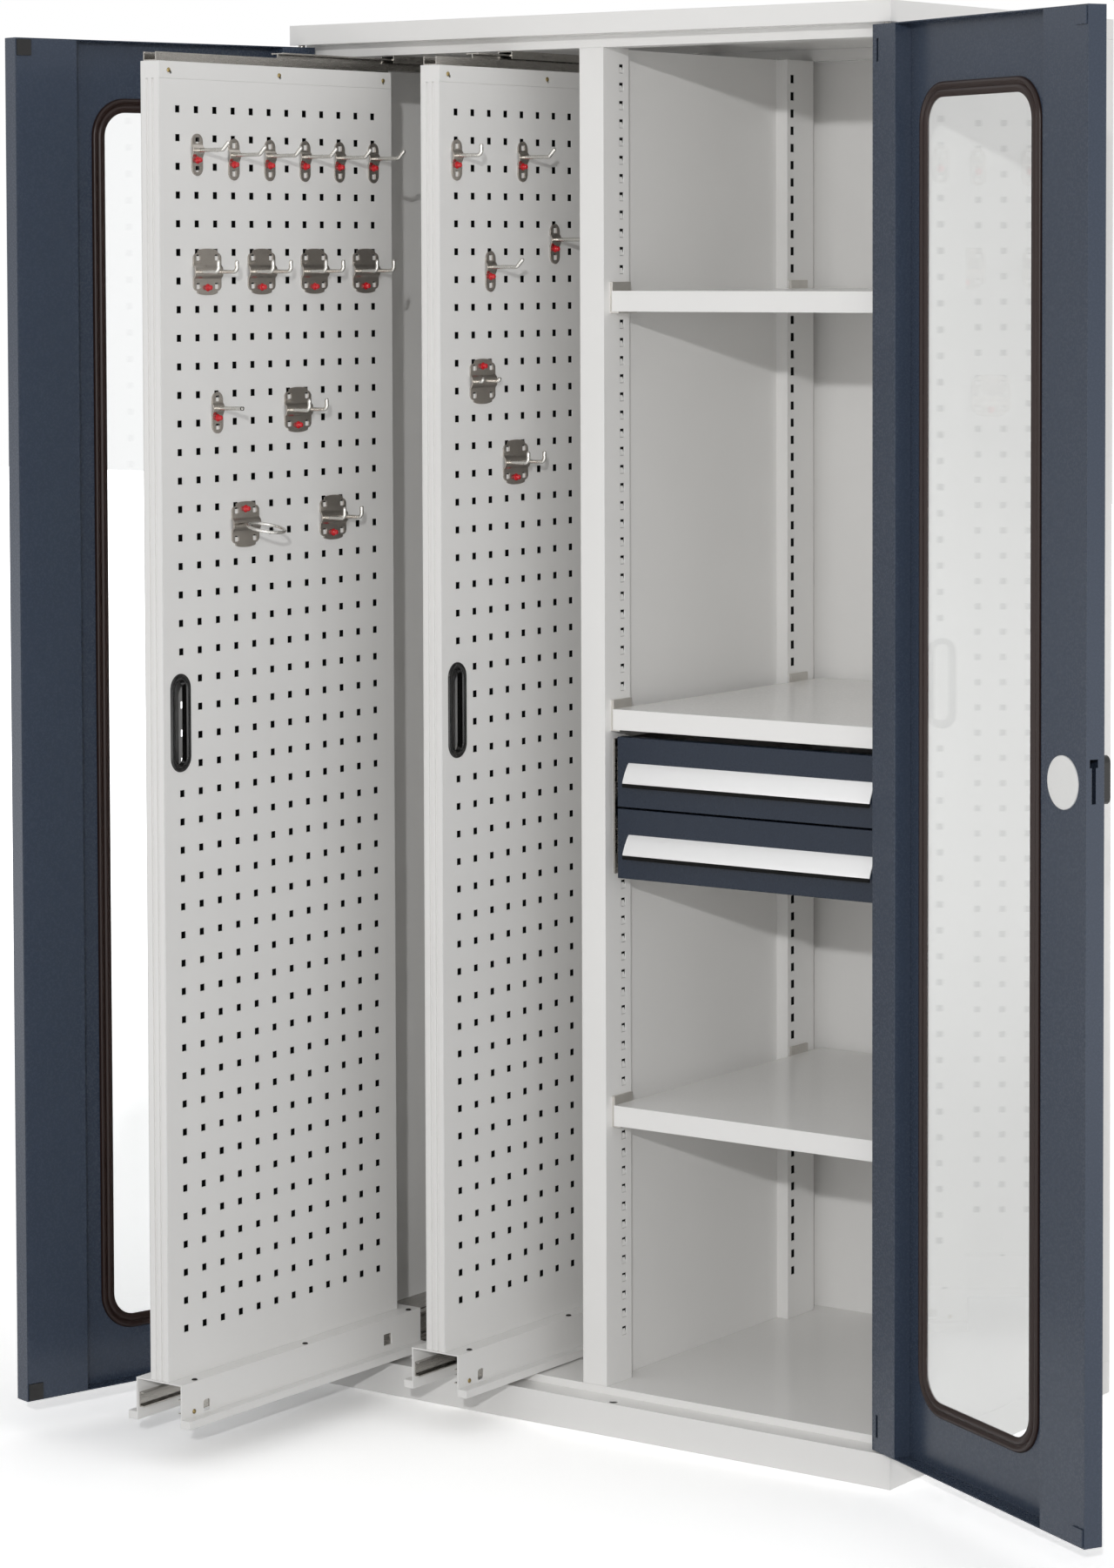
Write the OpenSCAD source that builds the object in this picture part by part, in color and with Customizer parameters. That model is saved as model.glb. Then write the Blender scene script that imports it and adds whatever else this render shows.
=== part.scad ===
// Steel tool cabinet, 1000 x 600 x 1950 mm, with two glazed hinged doors, two perforated
// panels that pull out on telescopic slides, three shelves and two drawers.
// Millimetres. X to the right seen from the front, Y to the back, Z up. The origin is on
// the floor, under the middle of the footprint. Depths are counted from the front plane.

/* [Cabinet] */
// Width over the side panels
cab_w = 1000; // [900:10:1200]
// Depth from the front of the cap to the back panel
cab_d = 600; // [590:5:700]
// Height from the floor to the top of the cap
cab_h = 1950; // [1900:10:2050]
// Thickness of the body's sheet steel
body_t = 1.5; // [1:0.1:2]
// Height of the plinth
plinth_h = 46; // [40:1:60]
// Height of the top cap
cap_h = 28; // [24:1:40]
// Depth of the space that the closed doors take in front of the frame
door_bay = 37; // [35:1:45]
// Height of the frame's top rails
rail_h = 17; // [12:1:20]
// Height of the floor panel's front edge above the plinth
floor_rise = 11; // [8:1:14]

/* [Uprights] */
// Width of the centre post
post_w = 40; // [40:1:50]
// Depth of the posts behind the door frame
post_d = 61; // [56:1:70]
// Depth of the rear uprights
rear_post_d = 71; // [60:1:80]
// Gap between the rear uprights and the back panel
rear_post_gap = 26; // [20:1:30]
// Pitch of the hook slots
slot_pitch = 25; // [20:1:25]
// Width of a hook slot
slot_w = 10; // [8:0.5:12]
// Height of a hook slot
slot_h = 12; // [10:1:14]
// Distance of the slot row behind the front of a front upright
slot_in = 43; // [40:1:48]
// Distance of the slot row behind the front of a rear upright
slot_in_rear = 14; // [10:1:20]
// Distance of the first slot below the top rail
slot_top = 28; // [20:1:40]
// Rows of slots
slot_n = 71; // [60:1:71]

/* [Shelves] */
// Height of the lowest shelf above the floor
shelf_z = 448; // [400:1:500]
// Slot pitches from the lowest shelf to the middle one
shelf_step_1 = 22; // [20:1:24]
// Slot pitches from the middle shelf to the top one
shelf_step_2 = 23; // [18:1:24]
// Height of a shelf's edge
shelf_edge = 28.5; // [20:0.5:32]
// Gap between a shelf and the uprights
shelf_gap = 4; // [4:0.5:6]
// Distance of a shelf's front edge behind the front plane
shelf_front = 50; // [49:1:60]
// Rise of a shelf clip above its shelf
clip_rise = 12; // [8:1:16]
// Length of a shelf clip
clip_len = 44; // [30:1:50]

/* [Drawers] */
// Height of a drawer front
drawer_h = 96; // [80:1:110]
// Gap above and between the drawer fronts
drawer_gap = 3; // [2:0.5:4]
// Drop from the middle shelf's edge to the upper drawer front
drawer_drop = 9; // [6:1:12]
// Depth of a drawer tray
drawer_len = 480; // [400:10:480]
// Thickness of a drawer front
drawer_front_t = 18; // [16:1:20]
// Width of a drawer slide
dslide_w = 12.7; // [12:0.1:14]
// Height of a drawer slide
dslide_h = 35; // [32:1:40]
// Spacer between the right upright and its drawer bracket, so that the slides clear the open door
door_spacer = 11; // [11:1:16]
// Height of the handle strip
strip_h = 25; // [20:1:30]
// How far the handle strip stands out of the front
strip_out = 15; // [12:1:15]

/* [Doors] */
// Depth of a door leaf
leaf_t = 26; // [24:1:26]
// Thickness of the door's sheet steel
door_t = 1.5; // [1.2:0.1:2]
// Gap above and below a leaf
leaf_gap = 3; // [2:0.5:4]
// Gap at the leaf's free edge, to the middle of the cabinet
lead_gap = 1; // [1:0.5:2]
// Distance of the pivot from the leaf's hinge edge
pivot_in = 11.5; // [11:0.5:14]
// Distance of the pivot behind the leaf's front face
pivot_back = 10; // [9:0.5:12]
// Width of the channel on the hinge side
hinge_channel_w = 56; // [50:1:60]
// Width of the channel on the free side
lock_channel_w = 98; // [90:1:100]
// Width of the rubber window profile
gasket_w = 20; // [16:1:24]
// Corner radius of the rubber window profile
gasket_r = 54; // [40:1:60]
// Window profile's distance from the hinge edge
window_hinge = 80; // [76:1:90]
// Window profile's distance from the lock channel
window_lock = 38.5; // [30:0.5:50]
// Window profile's distance from the leaf's top
window_top = 78; // [60:1:100]
// Window profile's distance from the leaf's foot
window_foot = 70; // [60:1:100]
// Thickness of the window pane
pane_t = 4; // [3:0.5:5]
// How far the right door stands open, in degrees
right_open = 152.5; // [90:0.5:165]
// How far the left door stands open, in degrees
left_open = 105.5; // [95:0.5:165]

/* [Lock] */
// Height of the lock above the floor
lock_z = 980; // [900:1:1050]
// Diameter of the lock's inner cover
cover_d = 66; // [60:1:75]
// Diameter of the lock's spindle
spindle_d = 12; // [10:0.5:14]
// Diameter of a lock rod
rod_d = 8; // [6:0.5:10]
// How far the turning knob stands out of the door
knob_out = 36; // [30:1:40]

/* [Pull-out panels] */
// Pitch of the square holes
hole_pitch = 38; // [38:1:40]
// Width of a square hole
hole_w = 9.4; // [8:0.2:10]
// Columns of holes
hole_cols = 12; // [6:1:12]
// Rows of holes
hole_rows = 44; // [38:1:44]
// Distance of the first column behind the panel's front
hole_front = 37; // [34:1:40]
// Distance of the top row below the panel's top
hole_top = 63; // [60:1:80]
// Depth of a panel
panel_d = 498; // [480:1:500]
// Thickness of a panel over both sheets
panel_t = 32; // [28:1:36]
// Thickness of a panel's sheet steel
panel_sheet_t = 1.2; // [1:0.1:1.5]
// Place of the near sheet of the first panel, right of the cabinet's middle
panel_x = -341; // [-345:1:-335]
// Pitch of the panels
panel_pitch = 207; // [200:1:210]
// Gap between a panel and the top rail
panel_top_gap = 25; // [25:1:30]
// How far the first panel is pulled out
pull_1 = 518; // [300:1:518]
// How far the second panel is pulled out
pull_2 = 180; // [100:1:300]
// A closed panel's distance behind the front plane
panel_rest = 50; // [48:1:54]

/* [Carriages and slides] */
// Width of the carriage under a panel
carriage_w = 80; // [76:1:84]
// Thickness of the carriage
carriage_t = 2; // [1.5:0.5:3]
// Height of the carriage
carriage_h = 58; // [58:1:64]
// Gap between the carriage and the floor panel
carriage_gap = 2; // [2:0.5:4]
// Width of the carriage's turned out hems
hem_w = 14; // [10:1:16]
// Height of the carriage's turned out hems
hem_h = 11; // [8:1:12]
// How far the carriage runs on behind the panel
carriage_tail = 23; // [10:1:24]
// Width of the slide base on the floor
base_w = 42; // [40:1:42]
// Height of the slide base on the floor
base_h = 52; // [52:1:53]
// Height of a carriage slide
cslide_h = 44; // [40:1:45]
// Length of the fixed slides
slide_len = 510; // [480:1:520]
// Width of the top slide
tslide_w = 22; // [20:1:24]
// Height of the top slide's moving member
tslide_h = 12; // [10:1:12]

/* [Grips] */
// Height of a grip ring
grip_h = 132; // [120:1:140]
// Width of a grip ring
grip_w = 41; // [38:1:44]
// Width of a grip ring's rim
grip_rim = 9; // [7:0.5:10]

/* [Hooks] */
// Thickness of a hook's plate
plate_t = 2; // [1.5:0.5:3]
// Width of a narrow plate
plate_w = 22; // [20:1:24]
// Height of a narrow plate
plate_h = 56; // [52:1:60]
// Width of a wide plate
wide_w = 57; // [54:1:60]
// Height of a wide plate
wide_h = 62; // [58:1:66]
// Diameter of a hook's wire
wire_d = 5.5; // [4:0.5:6]
// Reach of a narrow plate's hook
hook_out = 46; // [30:1:50]
// Reach of a wide plate's hooks
double_out = 40; // [30:1:50]
// Rise of an upturned end
tip_up = 16; // [12:1:20]
// Radius of the ring holder
ring_r = 26; // [20:1:28]

/* [Hidden] */
$fn = 48;

// Colours of the finishes
GREY = "#D6D6D3";
SHEET_GREY = "#C4C4C1";
BLUE_GREY = "#3D4550";
RUBBER = "#2B2220";
CLEAR = "#DDE6EA";
ZINC = "#B9B7B1";
NICKEL = "#A8A49E";
WHITE = "#ECECEA";
RED = "#C81626";
BLACK = "#151515";

// Running clearance of a pin or spindle in its hole, and the gap of parts that pass each other
fit = 0.05;
pass = 0.3;

front = -cab_d / 2;
back = cab_d / 2;
side = cab_w / 2;
cap_z = cab_h - cap_h;
rail_z = cap_z - rail_h;
floor_z = plinth_h + floor_rise;
frame_y = front + door_bay;
bay_left = post_w / 2;
bay_right = side - post_w / 2;
rear_post_y = back - body_t - rear_post_gap - rear_post_d;
slot_z = rail_z - slot_top;

shelf_1 = shelf_z;
shelf_2 = shelf_1 + shelf_step_1 * slot_pitch;
shelf_3 = shelf_2 + shelf_step_2 * slot_pitch;
shelf_len = back - body_t - rear_post_gap / 2 - front - shelf_front;

leaf_front = 2;
leaf_w = side - 0.5 - lead_gap;
leaf_z = plinth_h + leaf_gap;
leaf_h = cap_z - leaf_gap - leaf_z;
pivot_x = side - 0.5 - pivot_in;
pivot_y = front + leaf_front + pivot_back;
pivot_d = 10;
bush_d = 16;
bush_h = 12;
pivot_reach = 10;

window_z = leaf_z + window_foot;
window_h = leaf_h - window_foot - window_top;
lip = 2.5;
channel_x = leaf_w - lock_channel_w;
window_w = channel_x - window_lock - window_hinge;
lock_x = leaf_w - lock_channel_w / 2;
rod_y = 8;
rod_off = 24;
cam_y = rod_y + rod_d / 2 + 1;
cam_t = 4;
cam_pin_r = 12;
cam_pin_d = 3;
finger_w = 8;
finger_len = lock_channel_w / 2 + 7;
rose_t = 4;

panel_z = floor_z + carriage_gap + carriage_h;
panel_top = rail_z - panel_top_gap;
panel_h = panel_top - panel_z;
band_h = 23;
hole_z = panel_top - hole_top;
carriage_z = floor_z + carriage_gap;
carriage_len = panel_d + carriage_tail + 2;
grip_y = hole_front - 3;
grip_row = 21.5;
grip_z = hole_z - grip_row * hole_pitch;
mid_x = -panel_t / 2;
slide_t = 1.5;
slide_w = (carriage_w - 2 * carriage_t - base_w) / 2;
slide_z = carriage_z + (carriage_h - carriage_t) / 2 - 1;

drawer_top_z = shelf_2 - shelf_edge - drawer_drop;
drawer_z_1 = drawer_top_z - drawer_h;
drawer_z_2 = drawer_z_1 - drawer_gap - drawer_h;
bracket_t = 2;
tray_x = bay_left + pass + bracket_t + dslide_w;
drawer_front_y = front + shelf_front - 3;
tray_y = drawer_front_y + drawer_front_t;
tray_h = drawer_h - 26;
drawer_side = side - door_spacer;
front_x = tray_x - 1;
tray_lift = 8;

// A box from its low corner to its high corner
module box(lo, hi) {
    translate(lo) cube(hi - lo);
}

// A flat rectangle with round corners
module rounded(w, h, r) {
    translate([r, 0]) square([w - 2 * r, h]);
    translate([0, r]) square([w, h - 2 * r]);
    for (x = [r, w - r], y = [r, h - r]) translate([x, y]) circle(r);
}

// A flat slot shape with half-round ends, upright, centred
module obround(w, h) {
    translate([-w / 2, -h / 2]) rounded(w, h, w / 2 - 0.001);
}

// A flat shape in (depth, height) raised along X
module along_x(t) {
    rotate([90, 0, 90]) linear_extrude(t) children();
}

// Mirrors its children to the other side of the cabinet's middle
module other_side() {
    mirror([1, 0, 0]) children();
}

// Body panels

module side_panel() {
    color(GREY) box([side - body_t, frame_y, plinth_h], [side, back, cap_z]);
}

module left_side_panel() {
    other_side() side_panel();
}

module right_side_panel() {
    side_panel();
}

module back_panel() {
    color(GREY) box([-side + body_t, back - body_t, plinth_h], [side - body_t, back, cap_z]);
}

// The places of the door pivots and of the lock rod in the cap's floor and the plinth's deck
module pivot_holes(z) {
    for (s = [-1, 1]) translate([s * pivot_x, pivot_y, z - 1]) cylinder(h = body_t + 2, d = pivot_d);
    translate([side - 0.5 - lock_x, front + leaf_front + rod_y, z - 1]) cylinder(h = body_t + 2, d = rod_d + 4);
}

module top_cap() {
    color(GREY) difference() {
        box([-side, front, cap_z], [side, back, cab_h]);
        box([-side + body_t, front + body_t, cap_z + body_t], [side - body_t, back - body_t, cab_h - body_t]);
        pivot_holes(cap_z);
    }
}

// The plinth's skirt and deck, and the cross beam that stiffens it under the partition
module plinth() {
    beam_w = 60;
    color(GREY) {
        difference() {
            box([-side, front, 0], [side, back, plinth_h]);
            box([-side + body_t, front + body_t, -1], [side - body_t, back - body_t, plinth_h - body_t]);
            pivot_holes(plinth_h - body_t);
        }
        difference() {
            box([-beam_w / 2, front + body_t, 0], [beam_w / 2, back - body_t, plinth_h - body_t]);
            box([-beam_w / 2 + body_t, front, body_t], [beam_w / 2 - body_t, back, plinth_h]);
        }
    }
}

module floor_panel() {
    inner = side - body_t;
    color(GREY) difference() {
        box([-inner, frame_y, plinth_h], [inner, back - body_t, floor_z]);
        box([-inner + body_t, frame_y + body_t, plinth_h - 1], [inner - body_t, back - 2 * body_t, floor_z - body_t]);
    }
}

// One top rail, a channel open upwards
module top_rail(y0, y1) {
    inner = side - body_t;
    difference() {
        box([-inner, y0, rail_z], [inner, y1, cap_z]);
        box([-inner - 1, y0 + body_t, rail_z + body_t], [inner + 1, y1 - body_t, cap_z + 1]);
    }
}

module top_rails() {
    color(GREY) {
        top_rail(frame_y, frame_y + 40);
        top_rail(back - body_t - 24, back - body_t);
    }
}

// Uprights

// A channel post in plan, w wide and d deep, with lips turned in at the back
module post_plan(w, d, lip_w) {
    square([w, body_t]);
    square([body_t, d]);
    translate([w - body_t, 0]) square([body_t, d]);
    translate([0, d - body_t]) square([lip_w, body_t]);
    translate([w - lip_w, d - body_t]) square([lip_w, body_t]);
}

module centre_post() {
    color(GREY) {
        difference() {
            translate([-post_w / 2, frame_y, floor_z]) linear_extrude(rail_z - floor_z)
                post_plan(post_w, post_d, (post_w - body_t) / 2);
            slots(bay_left - body_t, frame_y + slot_in);
        }
    }
}

// Cutters for one column of hook slots in a face at x
module slots(x, y) {
    for (i = [0:slot_n - 1]) {
        z = slot_z - i * slot_pitch;
        box([x - 0.5, y - slot_w / 2, z - slot_h / 2], [x + body_t + 0.5, y + slot_w / 2, z + slot_h / 2]);
    }
}

// An upright at the side of a bay: a slotted face at x0 and two flanges that reach the sheet at x1
module upright(x0, x1, y0, depth, slot_y) {
    left = x0 < x1;
    face_x = left ? x0 : x0 - body_t;
    low = min(x0, x1);
    high = max(x0, x1);
    difference() {
        union() {
            box([face_x, y0, floor_z], [face_x + body_t, y0 + depth, rail_z]);
            box([low, y0, floor_z], [high, y0 + body_t, rail_z]);
            box([low, y0 + depth - body_t, floor_z], [high, y0 + depth, rail_z]);
        }
        slots(face_x, y0 + slot_y);
    }
}

module slotted_uprights() {
    color(GREY) {
        upright(bay_right, side - body_t, frame_y, post_d, slot_in);
        upright(-bay_right, -side + body_t, frame_y, post_d, slot_in);
        upright(bay_right, side - body_t, rear_post_y, rear_post_d, slot_in_rear);
        upright(bay_left, body_t / 2, rear_post_y, rear_post_d, slot_in_rear);
    }
}

module partition() {
    color(GREY) box(
        [-body_t / 2, frame_y + post_d - body_t, floor_z],
        [body_t / 2, back - body_t, rail_z]
    );
}

// Shelves

// A folded tray with hems turned in under its edges
module shelf(z) {
    t = body_t;
    hem = 12;
    x0 = bay_left + shelf_gap;
    x1 = bay_right - shelf_gap;
    y0 = front + shelf_front;
    y1 = y0 + shelf_len;
    color(GREY) difference() {
        box([x0, y0, z - shelf_edge], [x1, y1, z]);
        box([x0 + t, y0 + t, z - shelf_edge + t], [x1 - t, y1 - t, z - t]);
        box([x0 + hem, y0 + hem, z - shelf_edge - 1], [x1 - hem, y1 - hem, z - t]);
    }
}

module shelf_bottom() {
    shelf(shelf_1);
}

module shelf_middle() {
    shelf(shelf_2);
}

module shelf_top() {
    shelf(shelf_3);
}

// A clip: a plate between upright and shelf with a foot under the shelf's edge
module shelf_clip(y, z) {
    foot = 2;
    box([bay_left, y, z - shelf_edge - foot], [bay_left + shelf_gap, y + clip_len, z + clip_rise]);
    box([bay_left, y, z - shelf_edge - foot], [bay_left + shelf_gap + 10, y + clip_len, z - shelf_edge]);
}

module shelf_clips() {
    color(ZINC) for (z = [shelf_1, shelf_2, shelf_3], y = [frame_y + 15, rear_post_y + 5]) {
        shelf_clip(y, z);
        translate([side, 0, 0]) other_side() shelf_clip(y, z);
    }
}

// Telescopic slides. Sections are drawn with u away from the fixed wall and v up.

function rail_v(h, t) = h / 2 - t;
function mid_v(h, t) = rail_v(h, t) - 0.11 * (h - 2 * t);
function inner_v(h, t) = mid_v(h, t) - t - 0.11 * (h - 2 * t);

module rail_section(w, h, t) {
    translate([0, -h / 2]) square([t, h]);
    for (v = [-h / 2, h / 2 - t]) translate([0, v]) square([w - 3, t]);
}

module mid_section(w, h, t) {
    m = mid_v(h, t);
    u = 0.35 * w;
    translate([u, -m]) square([t, 2 * m]);
    for (v = [-m, m - t]) translate([u, v]) square([w - 2 - u, t]);
    // The ball cages above and below, on the middle member
    outer = rail_v(h, t) - pass - m;
    inner = m - t - inner_v(h, t) - pass;
    for (v = [m, -m - outer]) translate([0.5 * w, v]) square([0.2 * w, outer]);
    for (v = [m - t - inner, -m + t]) translate([0.5 * w, v]) square([0.2 * w, inner]);
}

module inner_section(w, h, t) {
    n = inner_v(h, t);
    translate([w - t, -n]) square([t, 2 * n]);
    for (v = [-n, n - t]) translate([0.56 * w, v]) square([0.44 * w, t]);
}

// Sets a slide section along Y from y0, with its fixed wall at x and its middle height at z
module slide_run(x, y0, z, len, dir) {
    translate([x, y0, z]) mirror([dir < 0 ? 1 : 0, 0, 0]) rotate([90, 0, 0]) mirror([0, 0, 1])
        linear_extrude(len) children();
}

// Pull-out panels. Each is drawn with its near sheet's face at x = 0 and its front at y = 0.

// Places a panel's children, i = 0 for the first, pulled out by its own share of the way
module at_panel(i, share) {
    pull = i == 0 ? pull_1 : pull_2;
    translate([panel_x + i * panel_pitch, front + panel_rest - pull * share, 0]) children();
}

module panel_slide_bases() {
    color(ZINC) for (i = [0, 1]) at_panel(i, 0) difference() {
        box([mid_x - base_w / 2, 12, floor_z], [mid_x + base_w / 2, 12 + slide_len, floor_z + base_h]);
        box(
            [mid_x - base_w / 2 + 2, 11, floor_z - 1],
            [mid_x + base_w / 2 - 2, 13 + slide_len, floor_z + base_h - 2]
        );
    }
}

// The top slide's fixed member, open downwards under the top rails
module top_fixed() {
    h = 11;
    z = rail_z - h;
    half = tslide_w / 2 + 1;
    difference() {
        box([mid_x - half, -8, z], [mid_x + half, back - body_t - front - panel_rest, rail_z]);
        box([mid_x - half + slide_t, -9, z - 1], [mid_x + half - slide_t, cab_d, rail_z - slide_t]);
    }
}

module panel_slide_rails() {
    color(ZINC) for (i = [0, 1]) at_panel(i, 0) {
        for (s = [-1, 1])
            slide_run(mid_x + s * base_w / 2, 12, slide_z, slide_len, s) rail_section(slide_w, cslide_h, slide_t);
        top_fixed();
    }
}

module slide_mids(i) {
    half = tslide_w / 2;
    low = panel_top + 3.5;
    high = rail_z - 5.5;
    color(ZINC) at_panel(i, 0.5) {
        for (s = [-1, 1])
            slide_run(mid_x + s * base_w / 2, 12, slide_z, slide_len, s) mid_section(slide_w, cslide_h, slide_t);
        translate([mid_x, 6, 0]) rotate([90, 0, 0]) mirror([0, 0, 1]) linear_extrude(slide_len) {
            translate([-slide_t / 2, low]) square([slide_t, high - low]);
            translate([-half + 4, low]) square([2 * half - 8, slide_t]);
            translate([-half + 3, high - slide_t]) square([2 * half - 6, slide_t]);
            // The ball cages at the flanges' edges
            for (s = [-1, 1]) {
                translate([s * (half - 4) + (s < 0 ? slide_t + pass - 4 : 0), low - 0.4])
                    square([4 - slide_t - pass, 2.3]);
                translate([s * (half - 3) + (s < 0 ? slide_t + pass - 4 : 0), high - slide_t - 0.4])
                    square([4 - slide_t - pass, 2.3]);
            }
        }
    }
}

// The moving members: one inside each wall of the carriage, one on top of the panel
module slide_inners(i) {
    half = tslide_w / 2;
    color(ZINC) at_panel(i, 1) {
        for (s = [-1, 1])
            slide_run(mid_x + s * base_w / 2, 2, slide_z, panel_d, s) inner_section(slide_w, cslide_h, slide_t);
        difference() {
            box([mid_x - half, 0, panel_top], [mid_x + half, panel_d, panel_top + tslide_h]);
            box([mid_x - half + slide_t, -1, panel_top + slide_t], [mid_x + half - slide_t, panel_d + 1, panel_top + 20]);
        }
    }
}

// One perforated sheet in (depth, height) with its slot for the grip
module perforated() {
    low = panel_z;
    difference() {
        translate([0, low]) square([panel_d, panel_top - band_h - low]);
        for (c = [0:hole_cols - 1], r = [0:hole_rows - 1])
            if (c > 0 || abs(r - grip_row) > 2)
                translate([hole_front + c * hole_pitch - hole_w / 2, hole_z - r * hole_pitch - hole_w / 2])
                    square(hole_w);
        translate([grip_y, grip_z]) obround(grip_w - 8, grip_h - 8);
    }
}

module sheets(i) {
    color(SHEET_GREY) at_panel(i, 1) for (x = [-panel_sheet_t, -panel_t])
        translate([x, 0, 0]) along_x(panel_sheet_t) perforated();
}

// The folded front edge with two grooves, the rear edge and the top channel
module panel_frame(i) {
    t = panel_sheet_t;
    inner = panel_t - 2 * t;
    edge_d = 12;
    groove = 4;
    groove_d = 2;
    grooves = [inner / 3 - groove / 2, 2 * inner / 3 - groove / 2];
    color(GREY) at_panel(i, 1) {
        translate([-panel_t + t, 0, panel_z]) linear_extrude(panel_top - t - panel_z) {
            difference() {
                union() {
                    square([t, edge_d]);
                    translate([inner - t, 0]) square([t, edge_d]);
                    square([inner, t]);
                    for (x = grooves) translate([x - t, 0]) square([groove + 2 * t, groove_d + t]);
                }
                for (x = grooves) translate([x, -1]) square([groove, 1 + groove_d]);
            }
            translate([0, panel_d - edge_d]) difference() {
                square([inner, edge_d]);
                translate([t, -1]) square([inner - 2 * t, edge_d + 1 - t]);
            }
        }
        difference() {
            box([-panel_t, 0, panel_top - band_h], [0, panel_d, panel_top]);
            box([-panel_t + t, t, panel_top - band_h - 1], [-t, panel_d - t, panel_top - t]);
            for (y = [24, 24 + 6 * hole_pitch, 24 + 12 * hole_pitch])
                translate([-panel_t - 1, y, panel_top - 15]) rotate([0, 90, 0]) cylinder(h = panel_t + 2, d = 4);
        }
    }
}

module carriage(i) {
    half = carriage_w / 2;
    z0 = carriage_z;
    z1 = carriage_z + carriage_h;
    lock_slot = [14, 15];
    catch_hole = [18, 16];
    color(GREY) at_panel(i, 1) translate([mid_x, -2, 0]) difference() {
        union() {
            box([-half, 0, z0], [half, carriage_len, z1]);
            box([-half - hem_w, 0, z0], [half + hem_w, carriage_len, z0 + hem_h]);
        }
        box([-half + carriage_t, -1, z0 - 1], [half - carriage_t, carriage_len + 1, z1 - carriage_t]);
        // A locking slot near the front and a square hole near the rear of each wall
        translate([-half - 1, 45, z0 + 14]) along_x(carriage_w + 2) rounded(lock_slot[0], lock_slot[1], 4);
        translate([-half - 1, 438, z0 + 20]) along_x(carriage_w + 2) square(catch_hole);
    }
}

module grips(i) {
    inner_w = grip_w - 2 * grip_rim;
    inner_h = grip_h - 2 * grip_rim;
    color(BLACK) at_panel(i, 1) for (s = [0, 1]) translate([s * -panel_t, grip_y, grip_z]) mirror([s, 0, 0]) {
        along_x(2.5) difference() {
            obround(grip_w, grip_h);
            obround(inner_w, inner_h);
        }
        translate([-7, 0, 0]) along_x(7) difference() {
            obround(grip_w - 8, grip_h - 8);
            obround(inner_w, inner_h);
        }
    }
}

// Tool hooks, drawn on the sheet's face with the plate's middle at the origin

// The place of a hook's plate: its column and row of holes, and its drop below the row
module at_hole(col, row, drop) {
    translate([0, hole_front + col * hole_pitch, hole_z - row * hole_pitch - drop]) children();
}

module single_plate() {
    window = 8;
    along_x(plate_t) difference() {
        obround(plate_w, plate_h);
        for (z = [-hole_pitch / 2, hole_pitch / 2]) translate([-window / 2, z - window / 2]) square(window);
    }
}

// A straight wire out of a plate, with its end turned up by rise degrees.
// The upturned end is a little thinner, so that it starts inside the wire.
module wire_hook(out, rise, up) {
    rotate([0, 90, 0]) cylinder(h = out, d = wire_d);
    if (rise > 0)
        translate([out - wire_d / 2, 0, 0]) rotate([0, 90 - rise, 0]) cylinder(h = up, d = wire_d - 0.4);
}

module single_hook(rise) {
    single_plate();
    translate([plate_t / 2, 0, 6]) wire_hook(hook_out - plate_t / 2, rise, tip_up);
}

module wide_plate() {
    window = 8;
    along_x(plate_t) difference() {
        translate([-wide_w / 2, -wide_h / 2]) rounded(wide_w, wide_h, 12);
        for (y = [-hole_pitch / 2, hole_pitch / 2], z = [-hole_pitch / 2, hole_pitch / 2])
            translate([y - window / 2, z - window / 2]) square(window);
    }
    // The pressed band across the plate's middle, which holds the wires
    along_x(plate_t + 3.5) translate([-wide_w / 2, -8]) square([wide_w, 16]);
}

module double_hook(out, up) {
    wide_plate();
    for (y = [-hole_pitch / 2, hole_pitch / 2])
        translate([plate_t, y, 0]) wire_hook(out - plate_t, 90, up);
}

module ring_hook() {
    wide_plate();
    translate([plate_t, 0, 0]) rotate([0, 90, 0]) cylinder(h = 10, d = wire_d);
    translate([plate_t + 9 + ring_r, 0, -4]) rotate([0, 12, 0])
        rotate_extrude() translate([ring_r, 0]) circle(d = wire_d - 1);
}

module hook_clip(z) {
    translate([plate_t, 0, z]) along_x(5) translate([-6, -4]) rounded(12, 8, 3);
}

module panel_1_single_hooks() {
    color(NICKEL) at_panel(0, 1) {
        for (c = [1, 3, 5, 7, 9, 11]) at_hole(c, 1.5, c == 1 ? 3 : 8) single_hook(45);
        at_hole(2, 10.5, 6) single_hook(0);
    }
}

module panel_1_double_hooks() {
    color(NICKEL) at_panel(0, 1) {
        for (c = [1.5, 4.5, 7.5, 10.5]) at_hole(c, 5.5, 7) double_hook(double_out, tip_up);
        for (p = [[6.5, 10.5], [8.5, 14.5]]) at_hole(p[0], p[1], 7) double_hook(double_out, tip_up);
    }
}

module panel_1_ring_hook() {
    color(NICKEL) at_panel(0, 1) at_hole(3.5, 14.5, 7) ring_hook();
}

module panel_1_hook_clips() {
    color(RED) at_panel(0, 1) {
        for (c = [1, 3, 5, 7, 9, 11]) at_hole(c, 1.5, c == 1 ? 3 : 8) hook_clip(-6);
        for (c = [1.5, 4.5, 7.5, 10.5]) at_hole(c, 5.5, 7) hook_clip(-21);
        for (p = [[6.5, 10.5], [8.5, 14.5]]) at_hole(p[0], p[1], 7) hook_clip(-21);
        at_hole(2, 10.5, 6) hook_clip(-6);
        at_hole(3.5, 14.5, 7) hook_clip(21);
    }
}

module panel_2_single_hooks() {
    color(NICKEL) at_panel(1, 1) {
        at_hole(0, 1.5, 8) single_hook(90);
        for (p = [[4, 1.5], [6, 4.5], [2, 5.5]]) at_hole(p[0], p[1], 8) single_hook(45);
    }
}

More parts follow.
